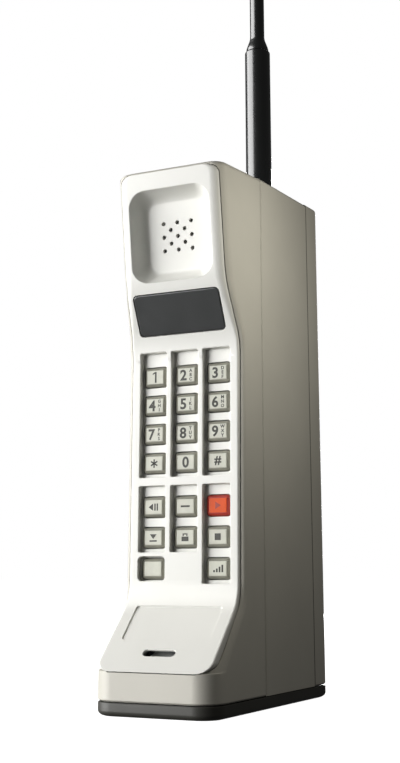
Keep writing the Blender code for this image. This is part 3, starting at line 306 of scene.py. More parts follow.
def rounded_profile(corners, bend, steps):
    """Corner points (z, y) with each inner corner replaced by a short curve."""
    points = [corners[0]]
    for before, corner, after in zip(corners, corners[1:], corners[2:]):
        here = Vector(corner)
        start = here + (Vector(before) - here).normalized() * bend
        end = here + (Vector(after) - here).normalized() * bend
        for step in range(steps + 1):
            t = step / steps
            point = start * (1 - t) ** 2 + here * 2 * t * (1 - t) + end * t ** 2
            points.append((point.x, point.y))
    points.append(corners[-1])
    return points


FACE_PROFILE = rounded_profile([
    (CHIN_TOP_Z, FRONT_Y),
    (KEY_LOW_Z, KEY_LOW_Y),
    (KEY_TOP_Z, KEY_TOP_Y),
    (EAR_LOW_Z, EAR_LOW_Y),
    (EAR_TOP_Z, EAR_TOP_Y)], PROFILE_BEND, 8)


def face_y(z):
    """Depth of the front faces at a height."""
    return between(z, FACE_PROFILE)


def rim_y(z):
    """Depth of the front shell's rim at a height."""
    return max(FRONT_Y, face_y(z) + PLATE_PROUD) if z > CHIN_TOP_Z else FRONT_Y


def shell_half(z):
    """Half the front shell's width at a height."""
    return between(z, [(KEY_TOP_Z, HALF_WIDTH), (EAR_LOW_Z, HALF_WIDTH - EAR_NARROWING)])


def corner_at(z, ear):
    """Corner radius of the front shell at a height."""
    return between(z, [
        (CHIN_TOP_Z, CHIN_CORNER),
        (KEY_LOW_Z + PROFILE_BEND, KEY_CORNER),
        (KEY_TOP_Z, KEY_CORNER),
        (EAR_LOW_Z, ear)])


def plate_half(z):
    """Half the faceplate's width, with its four corners rounded."""
    half = shell_half(z) - RIDGE - GAP
    above_foot = (z - CHIN_TOP_Z) / math.cos(math.radians(CHIN_SLOPE))
    for distance, radius in ((above_foot, PLATE_LOW_CORNER), (PLATE_TOP_Z - z, PLATE_TOP_CORNER)):
        short = max(0.0, radius - max(0.0, distance))
        half -= radius - math.sqrt(max(0.0, radius ** 2 - short ** 2))
    return half


def rounding(size, steps):
    """A quarter-round edge in steps: how far each is drawn in, and how far it is from the edge."""
    for step in range(steps + 1):
        turn = math.radians(90 * step / steps)
        yield size * (1 - math.cos(turn)), size * (1 - math.sin(turn))


def span(half, middle=0.0):
    """Low and high end of a length about its middle."""
    return middle - half, middle + half


def add_object(name, data):
    """A new object in the scene."""
    obj = bpy.data.objects.new(name, data)
    bpy.context.scene.collection.objects.link(obj)
    return obj


def bake(obj):
    """The mesh that an object has after its modifiers, which are then taken off."""
    graph = bpy.context.evaluated_depsgraph_get()
    mesh = bpy.data.meshes.new_from_object(obj.evaluated_get(graph))
    obj.modifiers.clear()
    return mesh


def mesh_object(name, work):
    """An object from a bmesh in millimetres."""
    bmesh.ops.recalc_face_normals(work, faces=work.faces)
    bmesh.ops.scale(work, vec=(MM, MM, MM), verts=work.verts)
    mesh = bpy.data.meshes.new(name)
    work.to_mesh(mesh)
    work.free()
    return add_object(name, mesh)


def add_loft(work, rings, finishes=None):
    """A closed body through rings of equally many points, added to a bmesh."""
    loops = [[work.verts.new(point) for point in ring] for ring in rings]
    count = len(loops[0])
    for level, (low, high) in enumerate(zip(loops, loops[1:])):
        for index in range(count):
            after = (index + 1) % count
            face = work.faces.new((low[index], low[after], high[after], high[index]))
            face.material_index = finishes[level] if finishes else 0
    work.faces.new(list(reversed(loops[0]))).material_index = finishes[0] if finishes else 0
    work.faces.new(loops[-1]).material_index = finishes[-1] if finishes else 0


def loft(name, rings, finishes=None):
    """One closed body through rings."""
    work = bmesh.new()
    add_loft(work, rings, finishes)
    return mesh_object(name, work)


def several(name, lofts):
    """One object made of separate closed bodies."""
    work = bmesh.new()
    for rings in lofts:
        add_loft(work, rings)
    return mesh_object(name, work)


def rounded_ring(x, y, corner, z, steps=6):
    """A rounded rectangle at one height."""
    (left, right), (low, high) = x, y
    corner = max(0.02, min(corner, (right - left) / 2 - 0.01, (high - low) / 2 - 0.01))
    points = arc(right - corner, high - corner, corner, corner, 0, 90, steps)
    points += arc(left + corner, high - corner, corner, corner, 90, 180, steps)
    points += arc(left + corner, low + corner, corner, corner, 180, 270, steps)
    points += arc(right - corner, low + corner, corner, corner, 270, 360, steps)
    return [Vector((px, py, z)) for px, py in points]


def slab(x, y, corner, levels, turn=None, steps=6):
    """Rings of a rounded block: levels are (height, how far it stands out)."""
    rings = []
    for z, out in levels:
        ring = rounded_ring(
            (x[0] - out, x[1] + out), (y[0] - out, y[1] + out), corner + out, z, steps)
        rings.append([turn @ point for point in ring] if turn else ring)
    return rings


def recess(x, y, corner, depth, turn, lip=0.25, floor=0.0):
    """Rings of a cutter that leaves a rounded lip where it breaks a face at height floor."""
    levels = [(depth + up, out) for up, out in RECESS_FOOT]
    levels += [
        (floor - lip, 0.0), (floor - lip * LIP_START, lip * LIP_START),
        (floor + BREAK, lip), (floor + FAR / 2, lip)]
    return slab(x, y, corner, levels, turn)


def opening(x, y, corner, back, turn, floor, lip=0.15):
    """Rings of a cutter that goes right through, with a rounded lip at height floor."""
    levels = [
        (back, 0.0), (floor - lip, 0.0), (floor - lip * LIP_START, lip * LIP_START),
        (floor + BREAK, lip), (floor + ABOVE, lip)]
    return slab(x, y, corner, levels, turn)


def tube_rings(radius, low, high, turn, sides=24):
    """Two rings of a round bar along the local Z."""
    return [[turn @ Vector((px, py, z)) for px, py in arc(0, 0, radius, radius, 0, 360, sides)[:-1]]
            for z in (low, high)]


def change(target, tool, operation):
    """Cut a tool from a piece or join it to the piece, and drop the tool."""
    step = target.modifiers.new("shape", "BOOLEAN")
    step.operation = operation
    step.object = tool
    step.solver = "EXACT"
    target.data = bake(target)
    bpy.data.objects.remove(tool)


def cut(target, tool):
    """Cut a tool from a piece."""
    change(target, tool, "DIFFERENCE")


def join(target, tool):
    """Join a tool to a piece."""
    change(target, tool, "UNION")


def smooth(obj, degrees=32):
    """Smooth shading, kept crisp at real edges, with flat faces kept flat."""
    obj.data.shade_smooth()
    obj.data.set_sharp_from_angle(angle=math.radians(degrees))
    step = obj.modifiers.new("flat_faces", "WEIGHTED_NORMAL")
    step.keep_sharp = True
    step.weight = 90
    obj.data = bake(obj)
    return obj


def section(half_front, half_back, front, back, across, deep, rear, z, rise=0.0, steps=8):
    """One level of a shell: rounded front corners, and rear corners with radius rear."""
    side = arc(half_front - across, front + deep, across, deep, -90, 0, steps)
    side += arc(half_back - rear, back - rear, rear, rear, 0, 90, 4 if rear < 1 else steps)
    outline = side + [(-x, y) for x, y in reversed(side)]
    return [Vector((x, y, z + (y - EAR_TOP_Y) * rise)) for x, y in outline]


def face_frame(top, low):
    """Turn from a face of the front to the phone: X across, Y up the face, Z out of it."""
    up = Vector((0, top[1] - low[1], top[0] - low[0])).normalized()
    across = Vector((1, 0, 0))
    turn = Matrix((across, up, across.cross(up))).transposed().to_4x4()
    turn.translation = Vector((0, top[1], top[0]))
    return turn


KEYPAD = face_frame((KEY_TOP_Z, KEY_TOP_Y), (KEY_LOW_Z, KEY_LOW_Y))
DISPLAY = face_frame((EAR_LOW_Z, EAR_LOW_Y), (KEY_TOP_Z, KEY_TOP_Y))
EAR = face_frame((EAR_TOP_Z, EAR_TOP_Y), (EAR_LOW_Z, EAR_LOW_Y))
CHIN = face_frame((KEY_LOW_Z, KEY_LOW_Y), (CHIN_TOP_Z, FRONT_Y))
DISPLAY_LENGTH = math.hypot(DISPLAY_SECTION_HEIGHT, EAR_LOW_Y - KEY_TOP_Y)
EAR_LENGTH = math.hypot(EAR_SECTION_HEIGHT, EAR_TOP_Y - EAR_LOW_Y)
CHIN_LENGTH = math.hypot(KEY_LOW_Z - CHIN_TOP_Z, KEY_LOW_Y - FRONT_Y)


def key_place(name):
    """Middle of a key on the keypad's face: across, and up from its top."""
    low, high = node_box(name)
    middle = (low + high) / 2
    there = KEYPAD.inverted() @ middle
    return there.x, there.y


# Finishes


def feed(tree, node, inputs):
    """Give a node its inputs, each a value or a socket to link from."""
    for name, value in inputs.items():
        if isinstance(value, bpy.types.NodeSocket):
            tree.links.new(value, node.inputs[name])
        else:
            node.inputs[name].default_value = value
    return node


def add_node(tree, kind, inputs, **settings):
    """A new node with its settings and its inputs."""
    node = tree.nodes.new(kind)
    for name, value in settings.items():
        setattr(node, name, value)
    return feed(tree, node, inputs)


def noise(tree, coords, scale, detail=3.0, stretch=None):
    """A noise pattern in the object's own space."""
    source = coords.outputs["Object"]
    if stretch:
        mapping = add_node(tree, "ShaderNodeMapping", {"Scale": stretch, "Vector": source})
        source = mapping.outputs["Vector"]
    return add_node(tree, "ShaderNodeTexNoise", {
        "Scale": scale, "Detail": detail, "Roughness": 0.55, "Vector": source}).outputs["Fac"]


def ramp(tree, value, low, high, first=(0, 0, 0, 1), second=(1, 1, 1, 1)):
    """A value stretched so that low becomes the first colour and high the second."""
    node = add_node(tree, "ShaderNodeValToRGB", {"Fac": value})
    for element, position, colour in zip(
            node.color_ramp.elements, (low, high), (first, second)):
        element.position = position
        element.color = colour
    return node.outputs["Color"]


def blend(tree, amount, first, second):
    """Mix two colours, each a colour or a socket."""
    return add_node(tree, "ShaderNodeMix", {
        "Factor": amount, 6: first, 7: second}, data_type="RGBA").outputs[2]


def multiply(tree, value, amount):
    """A pattern made weaker by a number or by another pattern."""
    return add_node(
        tree, "ShaderNodeMath", {0: value, 1: amount}, operation="MULTIPLY").outputs["Value"]


def shade(colour, factor):
    """A lighter or darker copy of a colour, with its alpha."""
    return (*[min(1.0, part * factor) for part in colour[:3]], 1.0)


def finish(name, colour, roughness, grain=0.0, grain_size=0.25, spread=0.06, metal=0.0, coat=0.0,
           corner_shade=0.0, stretch=None, scratches=0.0, spread_size=30.0, specular=0.5, corner_shade_reach=1.6):
    """A finish with its colour variation, its uneven gloss, its grain and a painted shade in its corners.
    """
    material = bpy.data.materials.new(name)
    material.use_nodes = True
    tree = material.node_tree
    shader = feed(tree, tree.nodes["Principled BSDF"], {
        "Metallic": metal, "Coat Weight": coat, "Coat Roughness": 0.06,
        "Specular IOR Level": specular})
    coords = tree.nodes.new("ShaderNodeTexCoord")
    cloud = noise(tree, coords, 1000.0 / spread_size, stretch=stretch)
    tone = blend(
        tree, ramp(tree, cloud, 0.3, 0.7), shade(colour, 1 - spread), shade(colour, 1 + spread))
    speck = ramp(tree, noise(tree, coords, 1600.0, 2.0), 0.62, 0.78)
    tone = blend(tree, multiply(tree, speck, 0.25), tone, shade(colour, 1 - 2.2 * spread))
    # Painted shade: where ambient occlusion finds corners and recesses, the colour is darkened towards 0.42
    # of itself.
    if corner_shade:
        painted_shade = grime_in_corners(tree, coords, corner_shade, corner_shade_reach)
        tone = blend(tree, painted_shade, tone, shade(colour, 0.42))
    gloss = add_node(tree, "ShaderNodeMapRange", {
        "To Min": max(0.02, roughness - 0.07), "To Max": min(1.0, roughness + 0.09),
        "Value": noise(tree, coords, 110.0, 4.0, stretch)})
    feed(tree, shader, {"Base Color": tone, "Roughness": gloss.outputs["Result"]})
    normal = None
    if grain:
        pattern = noise(tree, coords, 1000.0 / grain_size, 2.0, stretch)
        normal = bump(tree, pattern, grain, 0.00003)
    if scratches:
        lines = ramp(tree, noise(tree, coords, 900.0, 1.0, (1.0, 1.0, 0.03)), 0.68, 0.74)
        normal = bump(tree, lines, scratches, 0.00002, normal)
    if normal:
        tree.links.new(normal, shader.inputs["Normal"])
    return material


def grime_in_corners(tree, coords, amount, reach):
    """Painted shade: a darker colour in corners, seams and recesses found by ambient occlusion, standing in
    for the shade there, broken up by a noise.
    """
    hidden = add_node(
        tree, "ShaderNodeAmbientOcclusion", {"Distance": reach * MM}, samples=6)
    corners = ramp(tree, hidden.outputs["AO"], 0.25, 0.8, (1, 1, 1, 1), (0, 0, 0, 1))
    broken = multiply(tree, corners, noise(tree, coords, 260.0, 5.0))
    return multiply(tree, broken, amount)


def bump(tree, height, strength, distance, before=None):
    """A surface bump, added to the one before it."""
    inputs = {"Strength": strength, "Distance": distance, "Height": height}
    if before:
        inputs["Normal"] = before
    return add_node(tree, "ShaderNodeBump", inputs).outputs["Normal"]


def board_finish(name, colour):
    """Solder resist over a pattern of copper tracks."""
    material = finish(name, colour, 0.35, grain=0.2, coat=0.3)
    tree = material.node_tree
    shader = tree.nodes["Principled BSDF"]
    coords = next(node for node in tree.nodes if node.type == "TEX_COORD")
    cells = add_node(
        tree, "ShaderNodeTexVoronoi", {"Scale": 420.0, "Vector": coords.outputs["Object"]},
        distance="MANHATTAN", feature="DISTANCE_TO_EDGE")
    tracks = ramp(tree, cells.outputs["Distance"], 0.04, 0.09, (1, 1, 1, 1), (0, 0, 0, 1))
    base = shader.inputs["Base Color"].links[0].from_socket
    tone = blend(tree, multiply(tree, tracks, 0.6), base, shade(colour, 2.4))
    tree.links.new(tone, shader.inputs["Base Color"])
    return material


# Properties


def colour_property(label, text, value):
    """A colour that a user can change."""
    return FloatVectorProperty(
        name=label, description=text, default=value, subtype="COLOR", size=3, min=0.0, max=1.0)


def length_property(label, text, value):
    """A length that a user can change, given in millimetres."""
    return FloatProperty(
        name=label, description=text, default=value * MM, unit="LENGTH", subtype="DISTANCE",
        min=0.0, precision=5)


class PhoneColours(bpy.types.PropertyGroup):
    """Colours of the mouldings, the keys and the aerial."""
    plate: colour_property("Faceplate", "Off-white of the faceplate", (0.83, 0.825, 0.775))
    shell: colour_property("Shells", "Taupe of the shells and the battery pack", (0.60, 0.58, 0.51))
    base: colour_property("Base", "Dark brown-grey of the base", (0.050, 0.049, 0.041))
    key_face: colour_property("Key face", "Pale face of a key", (0.56, 0.56, 0.47))
    # Painted shade: the key colour darkened on a key's sloping border, standing in for the shade on those
    # sides.
    key_border: colour_property("Key border", "Greyer sloping border of a key", (0.27, 0.265, 0.215))
    send_face: colour_property("Send key", "Orange-red of the send key", (0.74, 0.10, 0.022))
    # Painted shade: the send key's red darkened on its sloping border.
    send_border: colour_property(
        "Send key border", "Deeper red border of the send key", (0.42, 0.03, 0.015))
    legend: colour_property("Legends", "Dark printing on the keys", (0.035, 0.034, 0.026))
    lens: colour_property("Lens", "Smoked lens over the display", (0.052, 0.054, 0.054))
    aerial: colour_property("Aerial", "Black of the aerial", (0.008, 0.009, 0.009))


class PhoneSizes(bpy.types.PropertyGroup):
    """Sizes of the small rounded edges and of the printing."""
    lip: length_property("Recess lip", "Rounding where a recess breaks the faceplate", 0.25)
    key_corner: length_property("Key corner", "Corner radius of a key", 1.05)
    key_chamfer: length_property("Key chamfer", "Width of a key's sloping border", 0.75)
    figure: length_property("Figure height", "Height of the figures on the keys", 3.8)
    letter: length_property("Letter height", "Height of the small letters on the keys", 1.15)
    print_height: length_property("Print height", "How far the printing stands up", 0.03)
    seam_edge: length_property("Seam edge", "Rounding of the shells where they meet", 0.5)


def colours():
    """The colours in use."""
    return bpy.context.scene.phone_colours


def sizes():
    """The small sizes in use."""
    return bpy.context.scene.phone_sizes


def dress(obj, body, slot_name, *nodes):
    """Put a piece on its body, in place of its nodes; its slot name is not used."""
    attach(obj, body)
    if nodes:
        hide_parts(*nodes)
    return obj


def complete(obj, material, body, slot_name, *nodes):
    """Give a piece its finish and its shading, and put it in place of its nodes."""
    obj.data.materials.append(material)
    return dress(smooth(obj), body, slot_name, *nodes)


def shell_finish(name):
    """Taupe plastic with a fine grain and a painted shade in its corners and seams."""
    return finish(name, colours().shell, 0.5, grain=0.35, grain_size=0.4, spread=0.035, corner_shade=1.0)


# Shells


def grime_seam(obj, y, name):
    """Painted shade: a darker copy of the shell colour on the rounded edges along a seam at depth y,
    standing in for the shade in the seam.
    """
    obj.data.materials.append(finish(name, shade(colours().shell, 0.3)[:3], 0.7, grain=0.3, spread=0.1))
    reach = sizes().seam_edge
    for face in obj.data.polygons:
        if abs(face.center.y - y * MM) < reach:
            face.material_index = 1


def front_ring(z, inset=0.0, rise=0.0, foot=0.0):
    """One level of the front shell."""
    half = shell_half(z) - inset
    edge = sizes().seam_edge / MM
    return section(
        half - foot, HALF_WIDTH - inset - foot, rim_y(z) + inset + foot, SHELL_BACK,
        corner_at(z, EAR_CORNER_ACROSS), corner_at(z, EAR_CORNER_DEEP), edge, z, rise)


def front_hollow_ring(z, rise=0.0):
    """One level of the hollow in the front shell."""
    half = plate_half(CHIN_TOP_Z + CHIN_CORNER) if z < KEY_LOW_Z else shell_half(z) - RIDGE - GAP
    half -= SEAT_STEP
    front = max(FRONT_Y + WALL, face_y(z) + PLATE_THICKNESS - SEAT_STEP)
    corner = min(CHIN_CORNER - WALL, corner_at(z, EAR_CORNER_DEEP))
    return section(
        half, HALF_WIDTH - WALL, front, SHELL_BACK + FAR, corner, corner, 0.1, z, rise, steps=4)


def plate_edge(z, along_key, at_ear):
    """Edge rounding of the faceplate at a height."""
    return between(z, [(KEY_TOP_Z, along_key), (EAR_LOW_Z, at_ear)])


def plate_ring(z):
    """One level of the faceplate."""
    half = plate_half(z)
    across = plate_edge(z, PLATE_EDGE, PLATE_EAR_EDGE_ACROSS)
    deep = plate_edge(z, PLATE_EDGE, PLATE_EAR_EDGE_DEEP)
    return section(
        half, half, face_y(z), face_y(z) + PLATE_THICKNESS, across, deep, 0.1, z, steps=8)


def seat_ring(z, at=None):
    """One level of the faceplate's seat, with a rounded lip at the shell's rim."""
    at = z if at is None else at
    half = plate_half(at) + GAP
    rim = rim_y(at)
    back = face_y(at) + PLATE_THICKNESS + GAP
    lip = sizes().lip / MM
    side = [
        (half + lip, rim - FAR), (half + lip, rim), (half + lip * LIP_START, rim + lip * LIP_START),
        (half, rim + lip), (half, back)]
    return [Vector((x, y, z)) for x, y in side + [(-x, y) for x, y in reversed(side)]]


def plate_levels():
    """Heights of the faceplate's levels, closer together round its corners."""
    foot_step = PLATE_LOW_CORNER * math.cos(math.radians(CHIN_SLOPE))
    foot = [CHIN_TOP_Z + up for up, _ in rounding(foot_step, CORNER_STEPS)]
    top = [PLATE_TOP_Z - down for down, _ in rounding(PLATE_TOP_CORNER, CORNER_STEPS)][::-1]
    middle = [z for z, _ in FACE_PROFILE if foot[-1] + 0.3 < z < top[0] - 0.3]
    return foot + middle + top


def boss_places():
    """Places of the four screw bosses, facing the back."""
    across = HALF_WIDTH - BOSS_INSET
    for z in (BASE_HEIGHT + SCREW_END_MARGIN, EAR_TOP_Z - SCREW_END_MARGIN):
        for x in (-across, across):
            yield Matrix.Translation((x, 0, z)) @ Matrix.Rotation(math.radians(-90), 4, "X")


class BRICK_OT_front_shell(bpy.types.Operator):
    """Build the front shell with its rim, its seat for the faceplate and its bosses"""
    bl_idname = "brick_phone.front_shell"
    bl_label = "Front Shell"

    def execute(self, context):
        edge = sizes().seam_edge / MM
        levels = [CHIN_TOP_Z + up for up in CHIN_EDGE_LEVELS]
        levels += [z for z, _ in FACE_PROFILE
                   if CHIN_TOP_Z + 2 < z < EAR_TOP_Z - 2 * FRONT_SHOULDER]
        rings = [front_ring(BASE_HEIGHT, foot=edge), front_ring(BASE_HEIGHT + edge)]
        rings += [front_ring(z) for z in levels]
        rings += [front_ring(EAR_TOP_Z - down, inset, TOP_RISE)
                  for inset, down in rounding(FRONT_SHOULDER, SHOULDER_STEPS)]
        shell = loft("front_shell_moulding", rings)

        levels = [BASE_HEIGHT + WALL, CHIN_TOP_Z]
        levels += [z for z, _ in FACE_PROFILE if CHIN_TOP_Z + 1 < z < EAR_TOP_Z - 2 * WALL]
        rings = [front_hollow_ring(z) for z in levels]
        rings.append(front_hollow_ring(EAR_TOP_Z - WALL - 0.6, TOP_RISE))
        cut(shell, loft("hollow", rings))
        rings = [seat_ring(CHIN_TOP_Z - GAP, CHIN_TOP_Z)] + [seat_ring(z) for z in plate_levels()]
        rings.append(seat_ring(PLATE_TOP_Z + GAP, PLATE_TOP_Z))
        cut(shell, loft("seat", rings))
        join(shell, several("bosses", [tube_rings(
            BOSS_RADIUS, SHELL_BACK - SCREW_BITE - WALL, SHELL_BACK - FLUSH, turn)
            for turn in boss_places()]))
        cut(shell, several("boss_holes", [tube_rings(
            SCREW_RADIUS, SHELL_BACK - SCREW_BITE - GAP, SHELL_BACK + FAR, turn)
            for turn in boss_places()]))
        shell.data.materials.append(shell_finish("front_shell_taupe"))
        # Painted shade along the seam at the front shell's back.
        grime_seam(shell, SHELL_BACK, "front_seam_painted_shade")
        dress(smooth(shell), "phone", "taupe_plastic", "front_shell")
        return {"FINISHED"}


class BRICK_OT_base(bpy.types.Operator):
    """Build the dark base with its rounded foot"""
    bl_idname = "brick_phone.base"
    bl_label = "Base"

    def execute(self, context):
        rings = [self.ring(up * BASE_ROUNDING, inset)
                 for up, inset in rounding(BASE_CHAMFER, SHOULDER_STEPS)]
        top = BASE_HEIGHT - SEAM
        rings += [self.ring(top - BASE_TOP_EDGE, 0.0), self.ring(top, BASE_TOP_EDGE)]
        brown = finish(
            "base_brown_grey", colours().base, 0.5, grain=0.4, grain_size=0.4, spread=0.10)
        complete(loft("base_moulding", rings), brown, "phone", "base_plastic", "base_cap")
        return {"FINISHED"}

    def ring(self, z, inset):
        half = HALF_WIDTH - inset
        corner = CHIN_CORNER - inset
        return section(
            half, half, FRONT_Y + inset, REAR_Y - inset, corner, corner, REAR_CORNER, z)


# Faceplate


def cup_ring(depth, run, outset=0.0, steps=8):
    """One level of the ear cup: a rounded rectangle that shrinks as it goes in."""
    half = CUP_WIDTH / 2 - run + outset
    high = -CUP_TOP_MARGIN - run + outset
    low = -EAR_LENGTH + CUP_LOW_MARGIN + run - outset
    ring = rounded_ring(span(half), (low, high), CUP_CORNER - run * 0.5 + outset, -depth, steps)
    return [EAR @ point for point in ring]


def cup_rings():
    """The hollow of the cup: a crisp rim, steep walls and a soft turn into the floor."""
    rings = [cup_ring(depth, run) for depth, run in CUP_LIP]
    for step in range(1, CUP_STEPS + 1):
        t = step / CUP_STEPS
        rings.append(cup_ring(CUP_RIM + (CUP_DEPTH - CUP_RIM) * (1 - (1 - t) ** 2), CUP_RUN * t))
    return rings


def sound_holes():
    """Rings of the sound holes in the ear cup."""
    middle = (-CUP_TOP_MARGIN - EAR_LENGTH + CUP_LOW_MARGIN) / 2
    for row in range(-2, 3):
        for place in ((-1, 0, 1) if row % 2 == 0 else (-0.5, 0.5)):
            x, y = place * SOUND_HOLE_PITCH, middle + row * SOUND_ROW_PITCH
            yield tube_rings(
                SOUND_HOLE / 2, -CUP_DEPTH - 2 * CUP_WALL, -CUP_DEPTH + CUP_WALL,
                EAR @ Matrix.Translation((x, y, 0)), 16)


def channels(lip):
    """The sunk channels that the keys stand in, and the pocket of the key on its own."""
    half = KEY_WIDTH / 2 + CHANNEL_MARGIN
    for column in KEY_COLUMNS:
        x = key_place(column[0])[0]
        first, last, head, foot = (key_place(name)[1] for name in column)
        for low, high in (
                (last - CHANNEL_FOOT, first + CHANNEL_HEAD),
                (foot - CHANNEL_FOOT, head + LOW_CHANNEL_HEAD)):
            yield recess(
                span(half, x), (low, high), CHANNEL_CORNER, -CHANNEL_DEPTH, KEYPAD, lip)
    x, y = key_place("key_power")
    up = KEY_HEIGHT / 2 + POCKET_MARGIN
    yield recess(span(half, x), span(up, y), POCKET_CORNER, -CHANNEL_DEPTH, KEYPAD, lip)


class BRICK_OT_faceplate(bpy.types.Operator):
    """Build the faceplate with its ear cup, its channels, its windows and its slot"""
    bl_idname = "brick_phone.faceplate"
    bl_label = "Faceplate"

    def execute(self, context):
        lip = sizes().lip / MM
        plate = loft("faceplate_moulding", [plate_ring(z) for z in plate_levels()])
        wall = [
            cup_ring(PLATE_THICKNESS * 0.6, CUP_RUN * 0.3, CUP_WALL),
            cup_ring(CUP_DEPTH + CUP_WALL, CUP_RUN, CUP_WALL)]
        join(plate, loft("cup_wall", wall))
        cut(plate, loft("cup_hollow", cup_rings()))

        slot_y = -CHIN_LENGTH + SLOT_RISE
        label_low = slot_y + LABEL_ABOVE_SLOT
        middle = -DISPLAY_LENGTH / 2
        half_x, half_y = LENS_WIDTH / 2 + GAP, LENS_HEIGHT / 2 + GAP
        recesses = list(channels(lip))
        recesses.append(recess(
            span(half_x), span(half_y, middle), LENS_CORNER,
            -LENS_THICKNESS - GAP, DISPLAY, lip * 0.6))
        recesses.append(recess(
            span(LABEL_WIDTH / 2), (label_low, label_low + LABEL_HEIGHT),
            LABEL_CORNER, -LABEL_DEPTH, CHIN, SMALL_LIP))
        cut(plate, several("recesses", recesses))

        openings = [slab(span(SLOT_WIDTH / 2), span(SLOT_HEIGHT / 2, slot_y), SLOT_HEIGHT / 2, [
            (-FAR, SLOT_UNDERCUT), (-SLOT_LIP, SLOT_UNDERCUT), (-SLOT_LIP, 0.0), (-lip, 0.0),
            (-lip * LIP_START, lip * LIP_START), (BREAK, lip), (ABOVE, lip)], CHIN)]
        half_x -= LENS_LEDGE
        half_y -= LENS_LEDGE
        openings.append(opening(
            span(half_x), span(half_y, middle), 1.0, -FAR, DISPLAY,
            -LENS_THICKNESS - GAP))
        across = KEY_WIDTH / 2 + KEY_CLEARANCE
        up = KEY_HEIGHT / 2 + KEY_CLEARANCE
        for name in KEYS:
            x, y = key_place(name)
            openings.append(opening(
                span(across, x), span(up, y), sizes().key_corner / MM + KEY_CLEARANCE,
                -FAR, KEYPAD, -CHANNEL_DEPTH, SMALL_LIP))
        openings += sound_holes()
        cut(plate, several("openings", openings))
        # The faceplate's finish carries a wide painted shade that darkens the ear cup's walls and the other
        # recesses.
        cream = finish(
            "plate_off_white", colours().plate, 0.42, grain=0.18, grain_size=0.35, spread=0.02,
            corner_shade=1.1, corner_shade_reach=3.5)
        complete(plate, cream, "phone", "cream_plastic", "faceplate")
        return {"FINISHED"}


class BRICK_OT_lens(bpy.types.Operator):
    """Build the smoked lens over the display"""
    bl_idname = "brick_phone.lens"
    bl_label = "Display Lens"

    def execute(self, context):
        middle = -DISPLAY_LENGTH / 2
        lens = loft("smoked_lens", slab(
            span(LENS_WIDTH / 2), span(LENS_HEIGHT / 2, middle),
            LENS_CORNER - GAP, LENS_LEVELS, DISPLAY, 8))
        smoked = finish(
            "smoked_plastic", colours().lens, 0.32, spread=0.12, coat=0.1, scratches=0.15)
        complete(lens, smoked, "phone", "smoked_lens", "display_lens")
        return {"FINISHED"}


# Keys


def print_from(name, outlines, place, ink):
    """Raised printing made of closed outlines, put on the keypad."""
    top = sizes().print_height / MM
    turn = KEYPAD @ Matrix.Translation(place)
    obj = several(name, [
        [[turn @ Vector((x, y, z)) for x, y in outline] for z in (-top, top)] for outline in outlines])
    obj.data.materials.append(ink)
    return obj


def set_print(obj, place, ink):
    """Put a printed mark on the keypad."""
    obj.data.transform(Matrix.Scale(MM, 4) @ KEYPAD @ Matrix.Translation(place))
    obj.data.materials.clear()
    obj.data.materials.append(ink)
    return obj


def text_mesh(body, height, top):
    """One character as a closed mesh about its own middle, in millimetres."""
    curve = bpy.data.curves.new("figure", "FONT")
    curve.body = body
    curve.size = 1.0
    curve.extrude = 0.1
    curve.offset = FIGURE_WEIGHT
    curve.resolution_u = 4
    holder = add_object("figure", curve)
    mesh = bake(holder)
    bpy.data.objects.remove(holder)
    work = bmesh.new()
    work.from_mesh(mesh)
    bmesh.ops.remove_doubles(work, verts=work.verts, dist=0.0005)
    bmesh.ops.recalc_face_normals(work, faces=work.faces)
    low = Vector([min(v.co[axis] for v in work.verts) for axis in range(3)])
    high = Vector([max(v.co[axis] for v in work.verts) for axis in range(3)])
    middle = (low + high) / 2
    scale = height / (high.y - low.y)
    for vert in work.verts:
        offset = vert.co - middle
        vert.co = Vector((offset.x * scale, offset.y * scale, math.copysign(top, offset.z)))
    work.to_mesh(mesh)
    work.free()
    return mesh


def bar(left, low, right, high):
    """Corners of an upright rectangle."""
    return [(left, low), (right, low), (right, high), (left, high)]


def turned_bar(length, thickness, degrees):
    """A bar through the middle of the mark, turned about it."""
    angle = math.radians(degrees)
    along, across = length / 2, thickness / 2
    return [(x * math.cos(angle) - y * math.sin(angle), x * math.sin(angle) + y * math.cos(angle))
            for x, y in bar(-along, -across, along, across)]


def pictogram(name):
    """Outlines of the sign on a function key."""
    signs = {
        "key_recall": [[(-1.9, 0), (-0.2, 1.2), (-0.2, -1.2)], bar(0.3, -1.2, 0.8, 1.2),
                       bar(1.2, -1.2, 1.7, 1.2)],
        "key_clear": [bar(-1.7, -0.3, 1.7, 0.3)],
        "key_send": [[(-0.9, -1.2), (1.1, 0), (-0.9, 1.2)]],
        "key_store": [[(-1.3, 1.2), (0, -0.4), (1.3, 1.2)], bar(-1.4, -1.3, 1.4, -0.8)],
        "key_lock": [bar(-1.3, -1.3, 1.3, 0.2), bar(-0.9, 0.35, -0.5, 1.3), bar(0.5, 0.35, 0.9, 1.3),
                     bar(-0.4, 0.9, 0.4, 1.3)],
        "key_end": [bar(-1.1, -1.1, 1.1, 1.1)],
        "key_1": [bar(-0.1, -1.9, 0.5, 1.9), [(-1.0, 0.9), (-0.1, 1.35), (-0.1, 1.9), (-1.0, 1.4)]],
        "key_star": [turned_bar(2.9, 0.5, degrees) for degrees in (90, 30, -30)],
        "key_volume": [bar(-1.6, -1.2, -1.0, -0.5), bar(-0.6, -1.2, 0.0, 0.0), bar(0.4, -1.2, 1.0, 0.6),
                       bar(1.4, -1.2, 2.0, 1.2)],
    }
    return signs.get(name, [])


